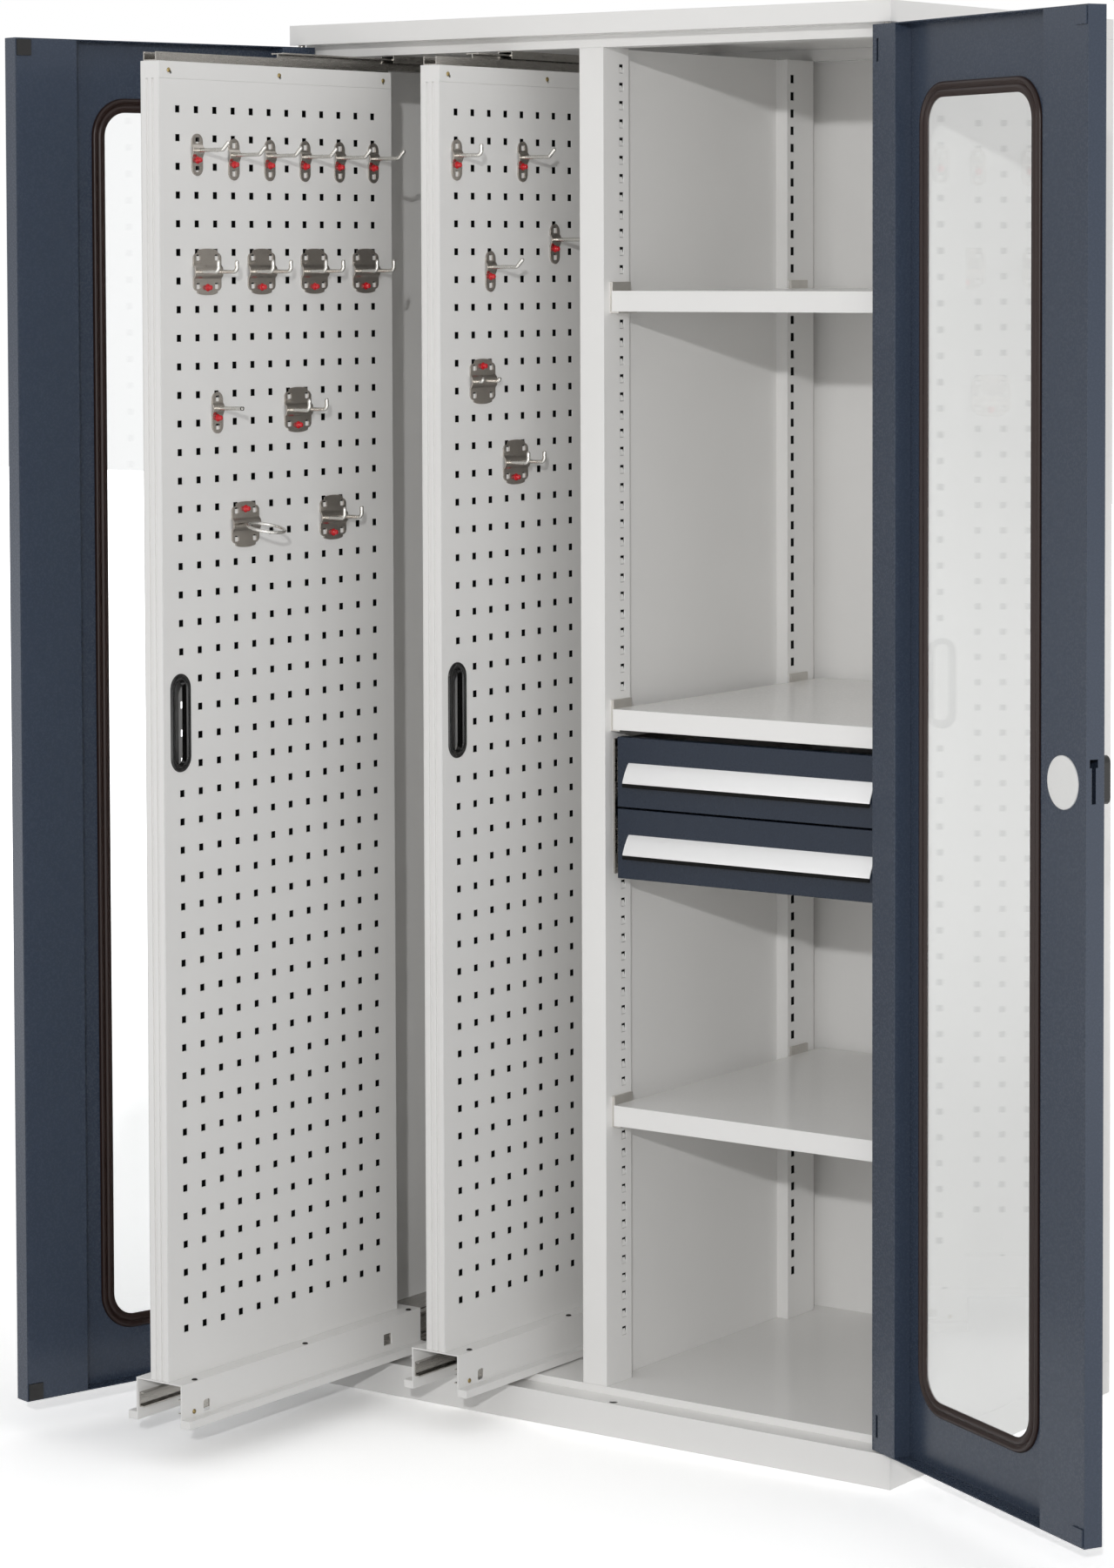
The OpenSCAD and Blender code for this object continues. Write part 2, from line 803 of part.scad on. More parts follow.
module panel_2_double_hooks() {
    color(NICKEL) at_panel(1, 1) {
        at_hole(1.5, 9.5, 7) double_hook(18, 6);
        at_hole(3.5, 12.5, 7) double_hook(double_out, tip_up);
    }
}

module panel_2_hook_clips() {
    color(RED) at_panel(1, 1) {
        for (p = [[0, 1.5], [4, 1.5], [6, 4.5], [2, 5.5]]) at_hole(p[0], p[1], 8) hook_clip(-6);
        at_hole(1.5, 9.5, 7) hook_clip(21);
        at_hole(3.5, 12.5, 7) hook_clip(-21);
    }
}

// Doors. A leaf is drawn with its hinge edge at x = 0, its front at y = 0 and its height as built.

// Sets a leaf into the right-hand opening and turns it open
module at_right_door() {
    translate([pivot_x, pivot_y, 0]) rotate([0, 0, right_open]) mirror([1, 0, 0])
        translate([-pivot_in, -pivot_back, 0]) children();
}

// Sets a leaf into the left-hand opening and turns it open
module at_left_door() {
    translate([-pivot_x, pivot_y, 0]) rotate([0, 0, -left_open])
        translate([-pivot_in, -pivot_back, 0]) children();
}

// A flat window outline, shrunk by d, in (width, height)
module window_outline(d) {
    translate([window_hinge + d, window_z + d])
        rounded(window_w - 2 * d, window_h - 2 * d, gasket_r - d);
}

// Raises a flat (width, height) shape from depth y0 to y1 of the leaf
module leaf_layer(y0, y1) {
    translate([0, y1, 0]) rotate([90, 0, 0]) linear_extrude(y1 - y0) children();
}

module leaf_skin() {
    t = door_t;
    color(BLUE_GREY) difference() {
        union() {
            leaf_layer(0, t) difference() {
                translate([0, leaf_z]) square([leaf_w, leaf_h]);
                window_outline(gasket_w / 2);
            }
            box([0, t, leaf_z], [t, leaf_t, leaf_z + leaf_h]);
            box([leaf_w - t, t, leaf_z], [leaf_w, leaf_t, leaf_z + leaf_h]);
            box([t, t, leaf_z], [leaf_w - t, leaf_t, leaf_z + t]);
            box([t, t, leaf_z + leaf_h - t], [leaf_w - t, leaf_t, leaf_z + leaf_h]);
        }
        for (z = [leaf_z - 1, leaf_z + leaf_h - t - 1])
            translate([pivot_in, pivot_back, z]) cylinder(h = t + 2, d = pivot_d + 2 * fit);
        children();
    }
}

// The stiffening channels along both upright edges, and the pivot bushes in the hinge channel
module leaf_channels() {
    t = door_t;
    z0 = leaf_z + t;
    z1 = leaf_z + leaf_h - t;
    color(BLUE_GREY) difference() {
        union() {
            box([t, leaf_t - t, z0], [hinge_channel_w, leaf_t, z1]);
            box([hinge_channel_w - t, t, z0], [hinge_channel_w, leaf_t, z1]);
            box([channel_x, leaf_t - t, z0], [leaf_w - t, leaf_t, z1]);
            box([channel_x, t, z0], [channel_x + t, leaf_t, z1]);
        }
        // Slots that give access to the pivots
        for (z = [z0 + 17, z1 - 47]) box([pivot_in - 2.5, leaf_t - t - 1, z], [pivot_in + 2.5, leaf_t + 1, z + 30]);
        children();
    }
    color(BLACK) for (z = [z0, z1 - bush_h]) translate([pivot_in, pivot_back, z]) difference() {
        cylinder(h = bush_h, d = bush_d);
        translate([0, 0, -1]) cylinder(h = bush_h + 2, d = pivot_d + 2 * fit);
    }
}

// The clear pane sits in the rubber profile's groove
module leaf_window() {
    color(CLEAR) leaf_layer(0, pane_t) window_outline(gasket_w / 2 + 2);
}

module leaf_gasket() {
    half = gasket_w / 2;
    color(RUBBER) {
        leaf_layer(-lip, 0) difference() {
            window_outline(0);
            window_outline(gasket_w);
        }
        leaf_layer(0, door_t) difference() {
            window_outline(half);
            window_outline(half + 2);
        }
        leaf_layer(door_t, pane_t) difference() {
            window_outline(0);
            window_outline(half + 2);
        }
        leaf_layer(pane_t, pane_t + lip) difference() {
            window_outline(0);
            window_outline(gasket_w);
        }
    }
}

// Black caps on the corners at the free edge
module leaf_caps() {
    cap = 22;
    color(BLACK) for (z = [leaf_z + 2, leaf_z + leaf_h - 2 - cap])
        box([leaf_w - cap - 2, leaf_t, z], [leaf_w - 2, leaf_t + 2.5, z + cap]);
}

module left_door_skin() {
    at_left_door() leaf_skin();
}

module left_door_channels() {
    at_left_door() leaf_channels();
}

module left_door_window() {
    at_left_door() leaf_window();
}

module left_door_gasket() {
    at_left_door() leaf_gasket();
}

module left_door_caps() {
    at_left_door() leaf_caps();
}

module right_door_skin() {
    at_right_door() leaf_skin() {
        translate([lock_x, -1, lock_z]) rotate([-90, 0, 0]) cylinder(h = door_t + 2, d = spindle_d + 2 * fit);
        // T-shaped slot in the free edge, for the cam's finger
        box([leaf_w - door_t - 1, cam_y - 1, lock_z - 22], [leaf_w + 1, cam_y + cam_t + 1, lock_z + 32]);
        box([leaf_w - door_t - 1, cam_y - 4, lock_z + 22], [leaf_w + 1, cam_y + cam_t + 4, lock_z + 32]);
        rod_hole(leaf_z + leaf_h - door_t - 1);
        rod_hole(leaf_z - 1);
    }
}

module rod_hole(z) {
    translate([lock_x, rod_y, z]) cylinder(h = door_t + 2, d = rod_d + 2 * fit);
}

module right_door_channels() {
    at_right_door() leaf_channels();
}

module right_door_window() {
    at_right_door() leaf_window();
}

module right_door_gasket() {
    at_right_door() leaf_gasket();
}

module right_door_caps() {
    at_right_door() leaf_caps();
}

// The round cover over the lock on the leaf's inner face, and the rose outside
module lock_cover() {
    color(WHITE) at_right_door() {
        translate([lock_x, leaf_t, lock_z]) rotate([-90, 0, 0]) cylinder(h = 2, d = cover_d);
        translate([lock_x, -rose_t, lock_z]) rotate([-90, 0, 0]) difference() {
            cylinder(h = rose_t, d = cover_d - 10);
            translate([0, 0, -1]) cylinder(h = rose_t + 2, d = spindle_d + 2 * fit);
        }
    }
}

// The turning knob with its spindle, which runs through the rose and the skin
module lock_knob() {
    base_h = 8;
    base_y = -rose_t - pass - base_h;
    grip = [18, 60];
    color(BLACK) at_right_door() translate([lock_x, 0, lock_z]) rotate([-90, 0, 0]) {
        translate([0, 0, base_y]) cylinder(h = base_h, d = 46);
        translate([0, 0, -knob_out]) linear_extrude(knob_out + base_y + 1) obround(grip[0], grip[1]);
        translate([0, 0, base_y + 1]) cylinder(h = leaf_t - door_t - 2 - base_y - 1, d = spindle_d);
    }
}

// The cam on the spindle: a disc with a pin for each rod and a finger that turns out of the edge.
// Drawn in (along the leaf, up). The finger points up and turns towards the free edge.
module lock_cam() {
    pin_at = cam_pin_r * sin(45);
    color(ZINC) at_right_door() translate([lock_x, 0, lock_z]) {
        leaf_layer(cam_y, cam_y + cam_t) difference() {
            union() {
                circle(d = 40);
                translate([-finger_w / 2, 0]) square([finger_w, finger_len]);
            }
            circle(d = spindle_d);
        }
        leaf_layer(rod_y, cam_y) for (s = [-1, 1]) translate([s * pin_at, s * pin_at]) circle(d = cam_pin_d);
    }
}

// A lock rod in the free side's channel, with a fork round its cam pin.
// s is 1 for the upper rod, whose pin starts below the spindle, and -1 for the lower one.
module lock_rod(s, len) {
    pin_at = cam_pin_r * sin(45);
    play = 0.6;
    web = 4;
    inner_x = spindle_d / 2 + 0.5;
    outer_x = cam_pin_r + cam_pin_d / 2 + play;
    fork_z = -pin_at;
    slot = cam_pin_d / 2 + play;
    color(ZINC) at_right_door() translate([lock_x, 0, lock_z]) mirror([0, 0, s < 0 ? 1 : 0]) mirror([s < 0 ? 1 : 0, 0, 0]) {
        translate([0, rod_y, rod_off]) cylinder(h = len, d = rod_d);
        leaf_layer(rod_y + 0.5, rod_y + rod_d / 2) difference() {
            union() {
                translate([-outer_x - web, fork_z - slot - web]) square([outer_x + web - inner_x, slot * 2 + 2 * web]);
                translate([-outer_x - web, fork_z]) square([web, rod_off + 6 - fork_z]);
                translate([-outer_x - web, rod_off]) square([outer_x + web, 6]);
            }
            translate([-outer_x, fork_z - slot]) square([outer_x, slot * 2]);
        }
    }
}

module upper_lock_rod() {
    lock_rod(1, leaf_z + leaf_h - 1 - lock_z - rod_off);
}

module lower_lock_rod() {
    lock_rod(-1, lock_z - rod_off - leaf_z - 1);
}

// Pivot pins of both doors, through the cap's floor and the plinth's deck
module pivot_pins() {
    color(ZINC) for (s = [-1, 1]) {
        translate([s * pivot_x, pivot_y, cap_z - leaf_gap - pivot_reach])
            cylinder(h = leaf_gap + pivot_reach + 10, d = pivot_d);
        translate([s * pivot_x, pivot_y, plinth_h - 10])
            cylinder(h = leaf_gap + pivot_reach + 10, d = pivot_d);
    }
}

// Drawers

// Plates that hang in the uprights' slots, with the fixed slide members on them
module drawer_brackets() {
    color(ZINC) {
        drawer_bracket(0);
        translate([drawer_side, 0, 0]) other_side() drawer_bracket(door_spacer);
    }
}

module drawer_bracket(spacer) {
    t = bracket_t;
    x1 = bay_left + pass + t;
    inset = 4;
    lo = [bay_left - spacer, tray_y - 8, drawer_z_2 + inset];
    hi = [x1, rear_post_y + rear_post_d - 10, drawer_top_z - inset];
    difference() {
        box(lo, hi);
        if (spacer > 0) box([lo[0] - 1, lo[1] + t, lo[2] + t], [x1 - t, hi[1] - t, hi[2] - t]);
    }
    for (z = [drawer_z_1, drawer_z_2])
        slide_run(x1, tray_y, z + drawer_h / 2, drawer_len - 10, 1) rail_section(dslide_w, dslide_h, 1.2);
}

module drawer_mids(z) {
    color(ZINC) for (s = [0, 1]) translate([s * drawer_side, 0, 0]) mirror([s, 0, 0])
        slide_run(bay_left + pass + bracket_t, tray_y, z + drawer_h / 2, drawer_len - 10, 1)
            mid_section(dslide_w, dslide_h, 1.2);
}

// The tray with the moving slide members on its sides
module drawer_tray(z) {
    t = 1.2;
    z0 = z + tray_lift;
    color(GREY) difference() {
        box([tray_x, tray_y, z0], [drawer_side - tray_x, tray_y + drawer_len, z0 + tray_h]);
        box(
            [tray_x + t, tray_y + t, z0 + t],
            [drawer_side - tray_x - t, tray_y + drawer_len - t, z0 + tray_h + 1]
        );
    }
    color(ZINC) for (s = [0, 1]) translate([s * drawer_side, 0, 0]) mirror([s, 0, 0])
        slide_run(bay_left + pass + bracket_t, tray_y, z + drawer_h / 2, drawer_len - 10, 1)
            inner_section(dslide_w, dslide_h, 1.2);
}

module drawer_front(z) {
    t = 1.5;
    color(BLUE_GREY) difference() {
        box([front_x, drawer_front_y, z], [side - front_x, tray_y, z + drawer_h]);
        box([front_x + t, drawer_front_y + t, z + t], [side - front_x - t, tray_y + 1, z + drawer_h - t]);
    }
}

// A sloping strip of aluminium to pull the drawer by
module drawer_handle(z) {
    t = 2;
    inset = 18;
    top = drawer_h - 35;
    low = top - strip_h;
    color(WHITE) translate([front_x + inset, drawer_front_y, z]) along_x(side - 2 * (front_x + inset)) polygon([
        [0, top], [-strip_out, low], [-strip_out, low - 3], [-strip_out + t, low - 3],
        [-strip_out + t, low - 0.5], [-t, top - 5], [-t, top - 14], [0, top - 14]
    ]);
}

left_side_panel();
right_side_panel();
back_panel();
top_cap();
plinth();
floor_panel();
top_rails();
centre_post();
slotted_uprights();
partition();
shelf_bottom();
shelf_middle();
shelf_top();
shelf_clips();
drawer_brackets();
panel_slide_bases();
panel_slide_rails();
pivot_pins();
left_door_skin();
left_door_channels();
left_door_window();
left_door_gasket();
left_door_caps();
right_door_skin();
right_door_channels();
right_door_window();
right_door_gasket();
right_door_caps();
lock_cover();
lock_knob();
lock_cam();
upper_lock_rod();
lower_lock_rod();
sheets(0);  // panel_1_sheets
panel_frame(0);  // panel_1_frame
carriage(0);  // panel_1_carriage
grips(0);  // panel_1_grips
panel_1_single_hooks();
panel_1_double_hooks();
panel_1_ring_hook();
panel_1_hook_clips();
slide_inners(0);  // panel_1_slides
slide_mids(0);  // panel_1_slide_mids
sheets(1);  // panel_2_sheets
panel_frame(1);  // panel_2_frame
carriage(1);  // panel_2_carriage
grips(1);  // panel_2_grips
panel_2_single_hooks();
panel_2_double_hooks();
panel_2_hook_clips();
slide_inners(1);  // panel_2_slides
slide_mids(1);  // panel_2_slide_mids
drawer_tray(drawer_z_1);  // drawer_1_tray
drawer_front(drawer_z_1);  // drawer_1_front
drawer_handle(drawer_z_1);  // drawer_1_handle
drawer_mids(drawer_z_1);  // drawer_1_slide_mids
drawer_tray(drawer_z_2);  // drawer_2_tray
drawer_front(drawer_z_2);  // drawer_2_front
drawer_handle(drawer_z_2);  // drawer_2_handle
drawer_mids(drawer_z_2);  // drawer_2_slide_mids
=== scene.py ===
# Tool cabinet with two glazed doors, pull-out hook panels, shelves and drawers.

import bpy
import numpy as np
from mathutils import Matrix


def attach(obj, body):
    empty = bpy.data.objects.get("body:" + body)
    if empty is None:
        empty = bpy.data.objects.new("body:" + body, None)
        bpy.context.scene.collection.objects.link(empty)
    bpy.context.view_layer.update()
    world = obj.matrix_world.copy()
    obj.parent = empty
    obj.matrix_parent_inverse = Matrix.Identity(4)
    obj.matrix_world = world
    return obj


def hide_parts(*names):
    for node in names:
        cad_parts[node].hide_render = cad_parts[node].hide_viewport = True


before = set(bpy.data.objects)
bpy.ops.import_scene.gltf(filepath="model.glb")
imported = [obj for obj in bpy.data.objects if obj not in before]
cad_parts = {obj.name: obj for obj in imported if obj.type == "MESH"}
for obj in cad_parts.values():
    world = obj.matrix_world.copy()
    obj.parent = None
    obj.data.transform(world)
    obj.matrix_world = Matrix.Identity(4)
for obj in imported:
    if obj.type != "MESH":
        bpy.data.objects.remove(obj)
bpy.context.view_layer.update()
scene = bpy.context.scene
scene.view_settings.view_transform = "Standard"


# Camera: a long lens at head height, in front and to the right.
# The picture is framed with a shift of the lens, so upright edges stay nearly upright.
# Place and turn come from a fit to the cabinet's own edges and hole rows.
EYE = (3.4056111, -5.0861707, 1.6151553)
YAW, PITCH, ROLL = 0.623038, -0.048840, -0.003229
PICTURE_WIDTH, PICTURE_HEIGHT, FOCAL_PIXELS = 1280, 1802, 4947.97
CENTRE_X, CENTRE_Y = 640.016, 540.838
SENSOR_MM, CLIP_FAR = 36, 100

ahead = np.array([-np.sin(YAW) * np.cos(PITCH), np.cos(YAW) * np.cos(PITCH), np.sin(PITCH)])
level = np.array([np.cos(YAW), np.sin(YAW), 0.0])
upward = np.cross(level, ahead)
right = np.cos(ROLL) * level + np.sin(ROLL) * upward
over = np.cos(ROLL) * upward - np.sin(ROLL) * level
camera = bpy.data.objects.new("camera", bpy.data.cameras.new("camera"))
scene.collection.objects.link(camera)
camera.data.sensor_width = SENSOR_MM
camera.data.lens = SENSOR_MM * FOCAL_PIXELS / PICTURE_HEIGHT
camera.data.shift_x = (PICTURE_WIDTH / 2 - CENTRE_X) / PICTURE_HEIGHT
camera.data.shift_y = (CENTRE_Y - PICTURE_HEIGHT / 2) / PICTURE_HEIGHT
camera.data.clip_end = CLIP_FAR
turned = np.eye(4)
turned[:3, 0], turned[:3, 1], turned[:3, 2], turned[:3, 3] = right, over, -ahead, EYE
camera.matrix_world = Matrix(turned.tolist())
scene.camera = camera


def linear(code):
    """An sRGB hex colour as linear light, with alpha 1."""
    value = np.array([int(code[i:i + 2], 16) for i in (1, 3, 5)]) / 255
    value = np.where(value <= 0.04045, value / 12.92, ((value + 0.055) / 1.055) ** 2.4)
    return (*value.tolist(), 1.0)


def add(tree, kind, sockets=None, **settings):
    """Adds a node of that kind. An input given another node's output is linked to it, any other value is set."""
    node = tree.nodes.new("ShaderNode" + kind)
    for name, value in settings.items():
        setattr(node, name, value)
    for name, value in (sockets or {}).items():
        if isinstance(value, bpy.types.NodeSocket):
            tree.links.new(value, node.inputs[name])
        else:
            node.inputs[name].default_value = value
    return node


def new_material(name):
    """An empty node material and its tree."""
    material = bpy.data.materials.new(name)
    material.use_nodes = True
    material.node_tree.nodes.clear()
    return material, material.node_tree


# Floor: a pale studio sweep of matt paper that keeps the cabinet's soft shadow.
# To the eye and in mirrors its colour is over 1, so the lit paper comes out white and only the shadow shows.
# Further than SWEEP_FROM from the middle it glows more and more by itself, as a lit sweep does.
FLOOR_HALF = 20.0
FLOOR_WHITE, FLOOR_SEEN = "#EEEEEE", 1.78
SWEEP_FROM, SWEEP_TO = 2.2, 5.0


def seen_rays(tree):
    """1 for a ray from the eye, a mirror or clear plastic, 0 for a ray that only gathers light."""
    rays = add(tree, "LightPath").outputs
    seen = add(tree, "Math", {0: rays["Is Camera Ray"], 1: rays["Is Glossy Ray"]}, operation="ADD")
    seen = add(tree, "Math", {0: seen.outputs[0], 1: rays["Is Transmission Ray"]}, operation="ADD",
               use_clamp=True)
    return seen.outputs[0]


floor_mesh = bpy.data.meshes.new("studio_floor")
corner = np.array([(-1, -1, 0), (1, -1, 0), (1, 1, 0), (-1, 1, 0)]) * FLOOR_HALF
floor_mesh.from_pydata(corner.tolist(), [], [(0, 1, 2, 3)])
floor = bpy.data.objects.new("studio_floor", floor_mesh)
scene.collection.objects.link(floor)
floor_paper, tree = new_material("matt white background paper")
seen = seen_rays(tree)
place = add(tree, "TexCoord").outputs["Object"]
away = add(tree, "VectorMath", {0: place}, operation="LENGTH")
far_out = add(tree, "MapRange", {"Value": away.outputs["Value"], "From Min": SWEEP_FROM, "From Max": SWEEP_TO})
glow = add(tree, "Math", {0: seen, 1: far_out.outputs[0]}, operation="MULTIPLY")
white = add(tree, "Mix", {0: seen, 6: linear(FLOOR_WHITE), 7: (FLOOR_SEEN, FLOOR_SEEN, FLOOR_SEEN, 1)},
            data_type="RGBA", clamp_result=False)
matt = add(tree, "BsdfDiffuse", {"Color": white.outputs[2]})
lit = add(tree, "Emission", {"Color": (1, 1, 1, 1), "Strength": glow.outputs[0]})
both = add(tree, "AddShader", {0: matt.outputs[0], 1: lit.outputs[0]})
add(tree, "OutputMaterial", {"Surface": both.outputs[0]})
floor_mesh.materials.append(floor_paper)

# Surroundings: plain white to the eye, in mirrors and through the panes.
# As a light they are dimmer, and dimmest on the left, like a white room with a window on the right.
SKY_SEEN, SKY_LEFT, SKY_RIGHT = 1.0, 0.45, 0.72

world = bpy.data.worlds.new("studio")
world.use_nodes = True
tree = world.node_tree
tree.nodes.clear()
heading = add(tree, "SeparateXYZ", {0: add(tree, "TexCoord").outputs["Generated"]})
fill = add(tree, "MapRange", {"Value": heading.outputs["X"], "From Min": -1.0, "From Max": 1.0,
                              "To Min": SKY_LEFT, "To Max": SKY_RIGHT})
bright = add(tree, "Mix", {0: seen_rays(tree), 2: fill.outputs[0], 3: SKY_SEEN}, data_type="FLOAT")
sky = add(tree, "Background", {"Color": (1, 1, 1, 1), "Strength": bright.outputs[0]})
add(tree, "OutputWorld", {"Surface": sky.outputs[0]})
scene.world = world


# Lamp: one small studio flash, nine metres in front and above the top of the cabinet.
# It is small enough to draw the shadow edges of the shelves and hooks.
LAMP_PLACE = np.array((4.75, -7.7, 3.1))
LAMP_AIM = np.array((0.0, 0.0, 1.0))
LAMP_SIZE, LAMP_WATTS = 0.16, 205.0

lamp = bpy.data.objects.new("key_lamp", bpy.data.lights.new("key_lamp", "AREA"))
lamp.data.shape, lamp.data.size, lamp.data.energy = "DISK", LAMP_SIZE, LAMP_WATTS
back = LAMP_PLACE - LAMP_AIM
back = back / np.linalg.norm(back)
side = np.cross((0, 0, 1), back)
side = side / np.linalg.norm(side)
turned = np.eye(4)
turned[:3, 0], turned[:3, 1], turned[:3, 2], turned[:3, 3] = side, np.cross(back, side), back, LAMP_PLACE
lamp.matrix_world = Matrix(turned.tolist())
scene.collection.objects.link(lamp)


# Body: folded sheet steel, powder coated light grey and baked.
# To the eye it is satin with a fine orange peel, and along the folds a painted highlight makes the colour a
# little lighter.
COAT_DRIFT, COAT_GLOSS, FOLD_RADIUS, PEEL_HEIGHT = 0.03, 0.05, 0.0014, 0.00006


def powder_coat(name, colour, rough, painted_fold_highlight=0.35, shine=0.5, peel_depth=0.2):
    """Powder coat: slow colour drift, peel bumps 3 mm apart that also change the gloss, folded edges rounded
    and made lighter in colour by a painted highlight. Edges are found where a Bevel node turns the surface by 11
    degrees or more."""
    material, tree = new_material(name)
    place = add(tree, "TexCoord").outputs["Object"]
    clouds = add(tree, "TexNoise", {"Vector": place, "Scale": 5.0, "Detail": 3.0})
    peel = add(tree, "TexNoise", {"Vector": place, "Scale": 330.0, "Detail": 1.0})
    fold = add(tree, "Bevel", {"Radius": FOLD_RADIUS}, samples=4)
    flat = add(tree, "NewGeometry")
    turn = add(tree, "VectorMath", {0: fold.outputs[0], 1: flat.outputs["True Normal"]}, operation="DOT_PRODUCT")
    # Painted highlight: the colour is lightened along the folds, standing in for the light the rounded edges
    # catch.
    edge = add(tree, "MapRange", {"Value": turn.outputs["Value"], "From Min": 0.98, "From Max": 0.75,
                                  "To Min": 0.0, "To Max": painted_fold_highlight})
    base = np.array(linear(colour))
    pale = np.clip(base * (1 + COAT_DRIFT), 0, 1)
    dim = base * (1 - COAT_DRIFT)
    light = np.clip(base * 1.25 + 0.02, 0, 1)
    pale[3], dim[3], light[3] = 1, 1, 1
    body = add(tree, "Mix", {0: clouds.outputs[0], 6: tuple(dim), 7: tuple(pale)}, data_type="RGBA")
    body = add(tree, "Mix", {0: edge.outputs[0], 6: body.outputs[2], 7: tuple(light)}, data_type="RGBA")
    gloss = add(tree, "MapRange", {"Value": peel.outputs[0], "To Min": rough - COAT_GLOSS,
                                   "To Max": rough + COAT_GLOSS})
    bump = add(tree, "Bump", {"Strength": peel_depth, "Distance": PEEL_HEIGHT, "Height": peel.outputs[0],
                              "Normal": fold.outputs[0]})
    skin = add(tree, "BsdfPrincipled", {"Base Color": body.outputs[2], "Roughness": gloss.outputs[0],
                                        "Specular IOR Level": shine, "Normal": bump.outputs[0]})
    add(tree, "OutputMaterial", {"Surface": skin.outputs[0]})
    return material


def dress(material, *names):
    """Gives the named CAD nodes that material."""
    for name in names:
        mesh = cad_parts[name].data
        mesh.materials.clear()
        mesh.materials.append(material)


light_coat = powder_coat("light grey powder-coated steel", "#F3F2F0", rough=0.21)
dress(light_coat, "left_side_panel", "right_side_panel", "back_panel", "top_cap", "plinth", "floor_panel",
      "top_rails", "centre_post", "slotted_uprights", "partition")


# Shelves: folded sheet steel with the same coat, hung on clips in the uprights' slots.
# To the eye they are one with the body.
dress(light_coat, "shelf_bottom", "shelf_middle", "shelf_top")


# Bright small parts: slides, pivot pins and brackets of zinc-plated steel, screwed or hooked to the body.
# To the eye: a grey metal with soft cloudy patches and fine streaks along the rolling direction.
# The shelf clips are hot-dip galvanised, so they are paler and nearly matt.
STREAK_GLOSS, STREAK_HEIGHT, BURR_RADIUS = 0.07, 0.00003, 0.0004


def plated(name, colour, rough, streak, cloud=0.06, grain=(60.0, 4.0, 60.0), metallic=1.0):
    """Plated metal: cloudy colour, and fine streaks in gloss and height along the axis that grain scales least.
    A Bevel node rounds its edges. Below 1, metallic mixes in the matt white of an anodised skin."""
    material, tree = new_material(name)
    place = add(tree, "TexCoord").outputs["Object"]
    stretched = add(tree, "Mapping", {"Vector": place, "Scale": grain})
    lines = add(tree, "TexNoise", {"Vector": stretched.outputs[0], "Scale": 12.0, "Detail": 3.0})
    clouds = add(tree, "TexNoise", {"Vector": place, "Scale": 60.0, "Detail": 2.0})
    base = np.array(linear(colour))
    pale, dim = np.clip(base * (1 + cloud), 0, 1), base * (1 - cloud)
    pale[3], dim[3] = 1, 1
    tint = add(tree, "Mix", {0: clouds.outputs[0], 6: tuple(dim), 7: tuple(pale)}, data_type="RGBA")
    gloss = add(tree, "MapRange", {"Value": lines.outputs[0], "To Min": rough - STREAK_GLOSS,
                                   "To Max": rough + STREAK_GLOSS})
    fold = add(tree, "Bevel", {"Radius": BURR_RADIUS}, samples=4)
    bump = add(tree, "Bump", {"Strength": streak, "Distance": STREAK_HEIGHT, "Height": lines.outputs[0],
                              "Normal": fold.outputs[0]})
    metal = add(tree, "BsdfPrincipled", {"Base Color": tint.outputs[2], "Metallic": metallic,
                                         "Roughness": gloss.outputs[0], "Normal": bump.outputs[0]})
    add(tree, "OutputMaterial", {"Surface": metal.outputs[0]})
    return material


zinc = plated("zinc-plated rolled steel", "#A9A6A1", rough=0.26, streak=0.5)
dress(zinc, "panel_slide_bases", "panel_slide_rails", "drawer_brackets", "pivot_pins")
dress(plated("hot-dip galvanised steel", "#D2CFCA", rough=0.5, streak=0.3), "shelf_clips")


# Pull-out panels: two perforated steel sheets screwed to a folded frame, on a carriage of folded sheet that
# runs on the slides. To the eye: the body's light grey, a little less glossy.
sheet_coat = powder_coat("light grey powder-coated perforated steel sheet", "#EEEDEB", rough=0.32)
for p in ("panel_1", "panel_2"):
    dress(sheet_coat, p + "_sheets", p + "_frame", p + "_carriage")
    dress(zinc, p + "_slides", p + "_slide_mids")


def piece(name, grids, material, body, hides=(), crease=35):
    """One object from grids of points, each (copies, rings, points of a ring, 3) in metres, and True where its
    last ring joins its first. Neighbours in a grid make four-cornered faces, and open ends get one face each.
    A grid whose faces enclose a negative volume is turned inside out."""
    corners, faces, start = [], [], 0
    for points, looped in grids:
        copies, rings, around, _ = points.shape
        index = np.arange(copies * rings * around).reshape(copies, rings, around)
        lower = index if looped else index[:, :-1]
        upper = np.roll(index, -1, 1) if looped else index[:, 1:]
        quads = np.stack([lower, np.roll(lower, -1, 2), np.roll(upper, -1, 2), upper], -1).reshape(-1, 4)
        flat = points.reshape(-1, 3)
        a, b, c, d = (flat[quads[:, k]] - flat.mean(0) for k in range(4))
        volume = np.einsum("ij,ij->", a, np.cross(b, c)) + np.einsum("ij,ij->", a, np.cross(c, d))
        caps = [] if looped else [index[:, 0, ::-1], index[:, -1]]
        if volume < 0:
            quads, caps = quads[:, ::-1], [cap[:, ::-1] for cap in caps]
        faces += (quads + start).tolist()
        for cap in caps:
            faces += (cap + start).tolist()
        corners.append(flat)
        start += len(flat)
    mesh = bpy.data.meshes.new(name)
    mesh.from_pydata(np.concatenate(corners).tolist(), [], faces)
    mesh.validate()
    mesh.shade_smooth()
    mesh.set_sharp_from_angle(angle=np.radians(crease))
    mesh.materials.append(material)
    made = bpy.data.objects.new(name, mesh)
    scene.collection.objects.link(made)
    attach(made, body)
    if hides:
        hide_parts(*hides)


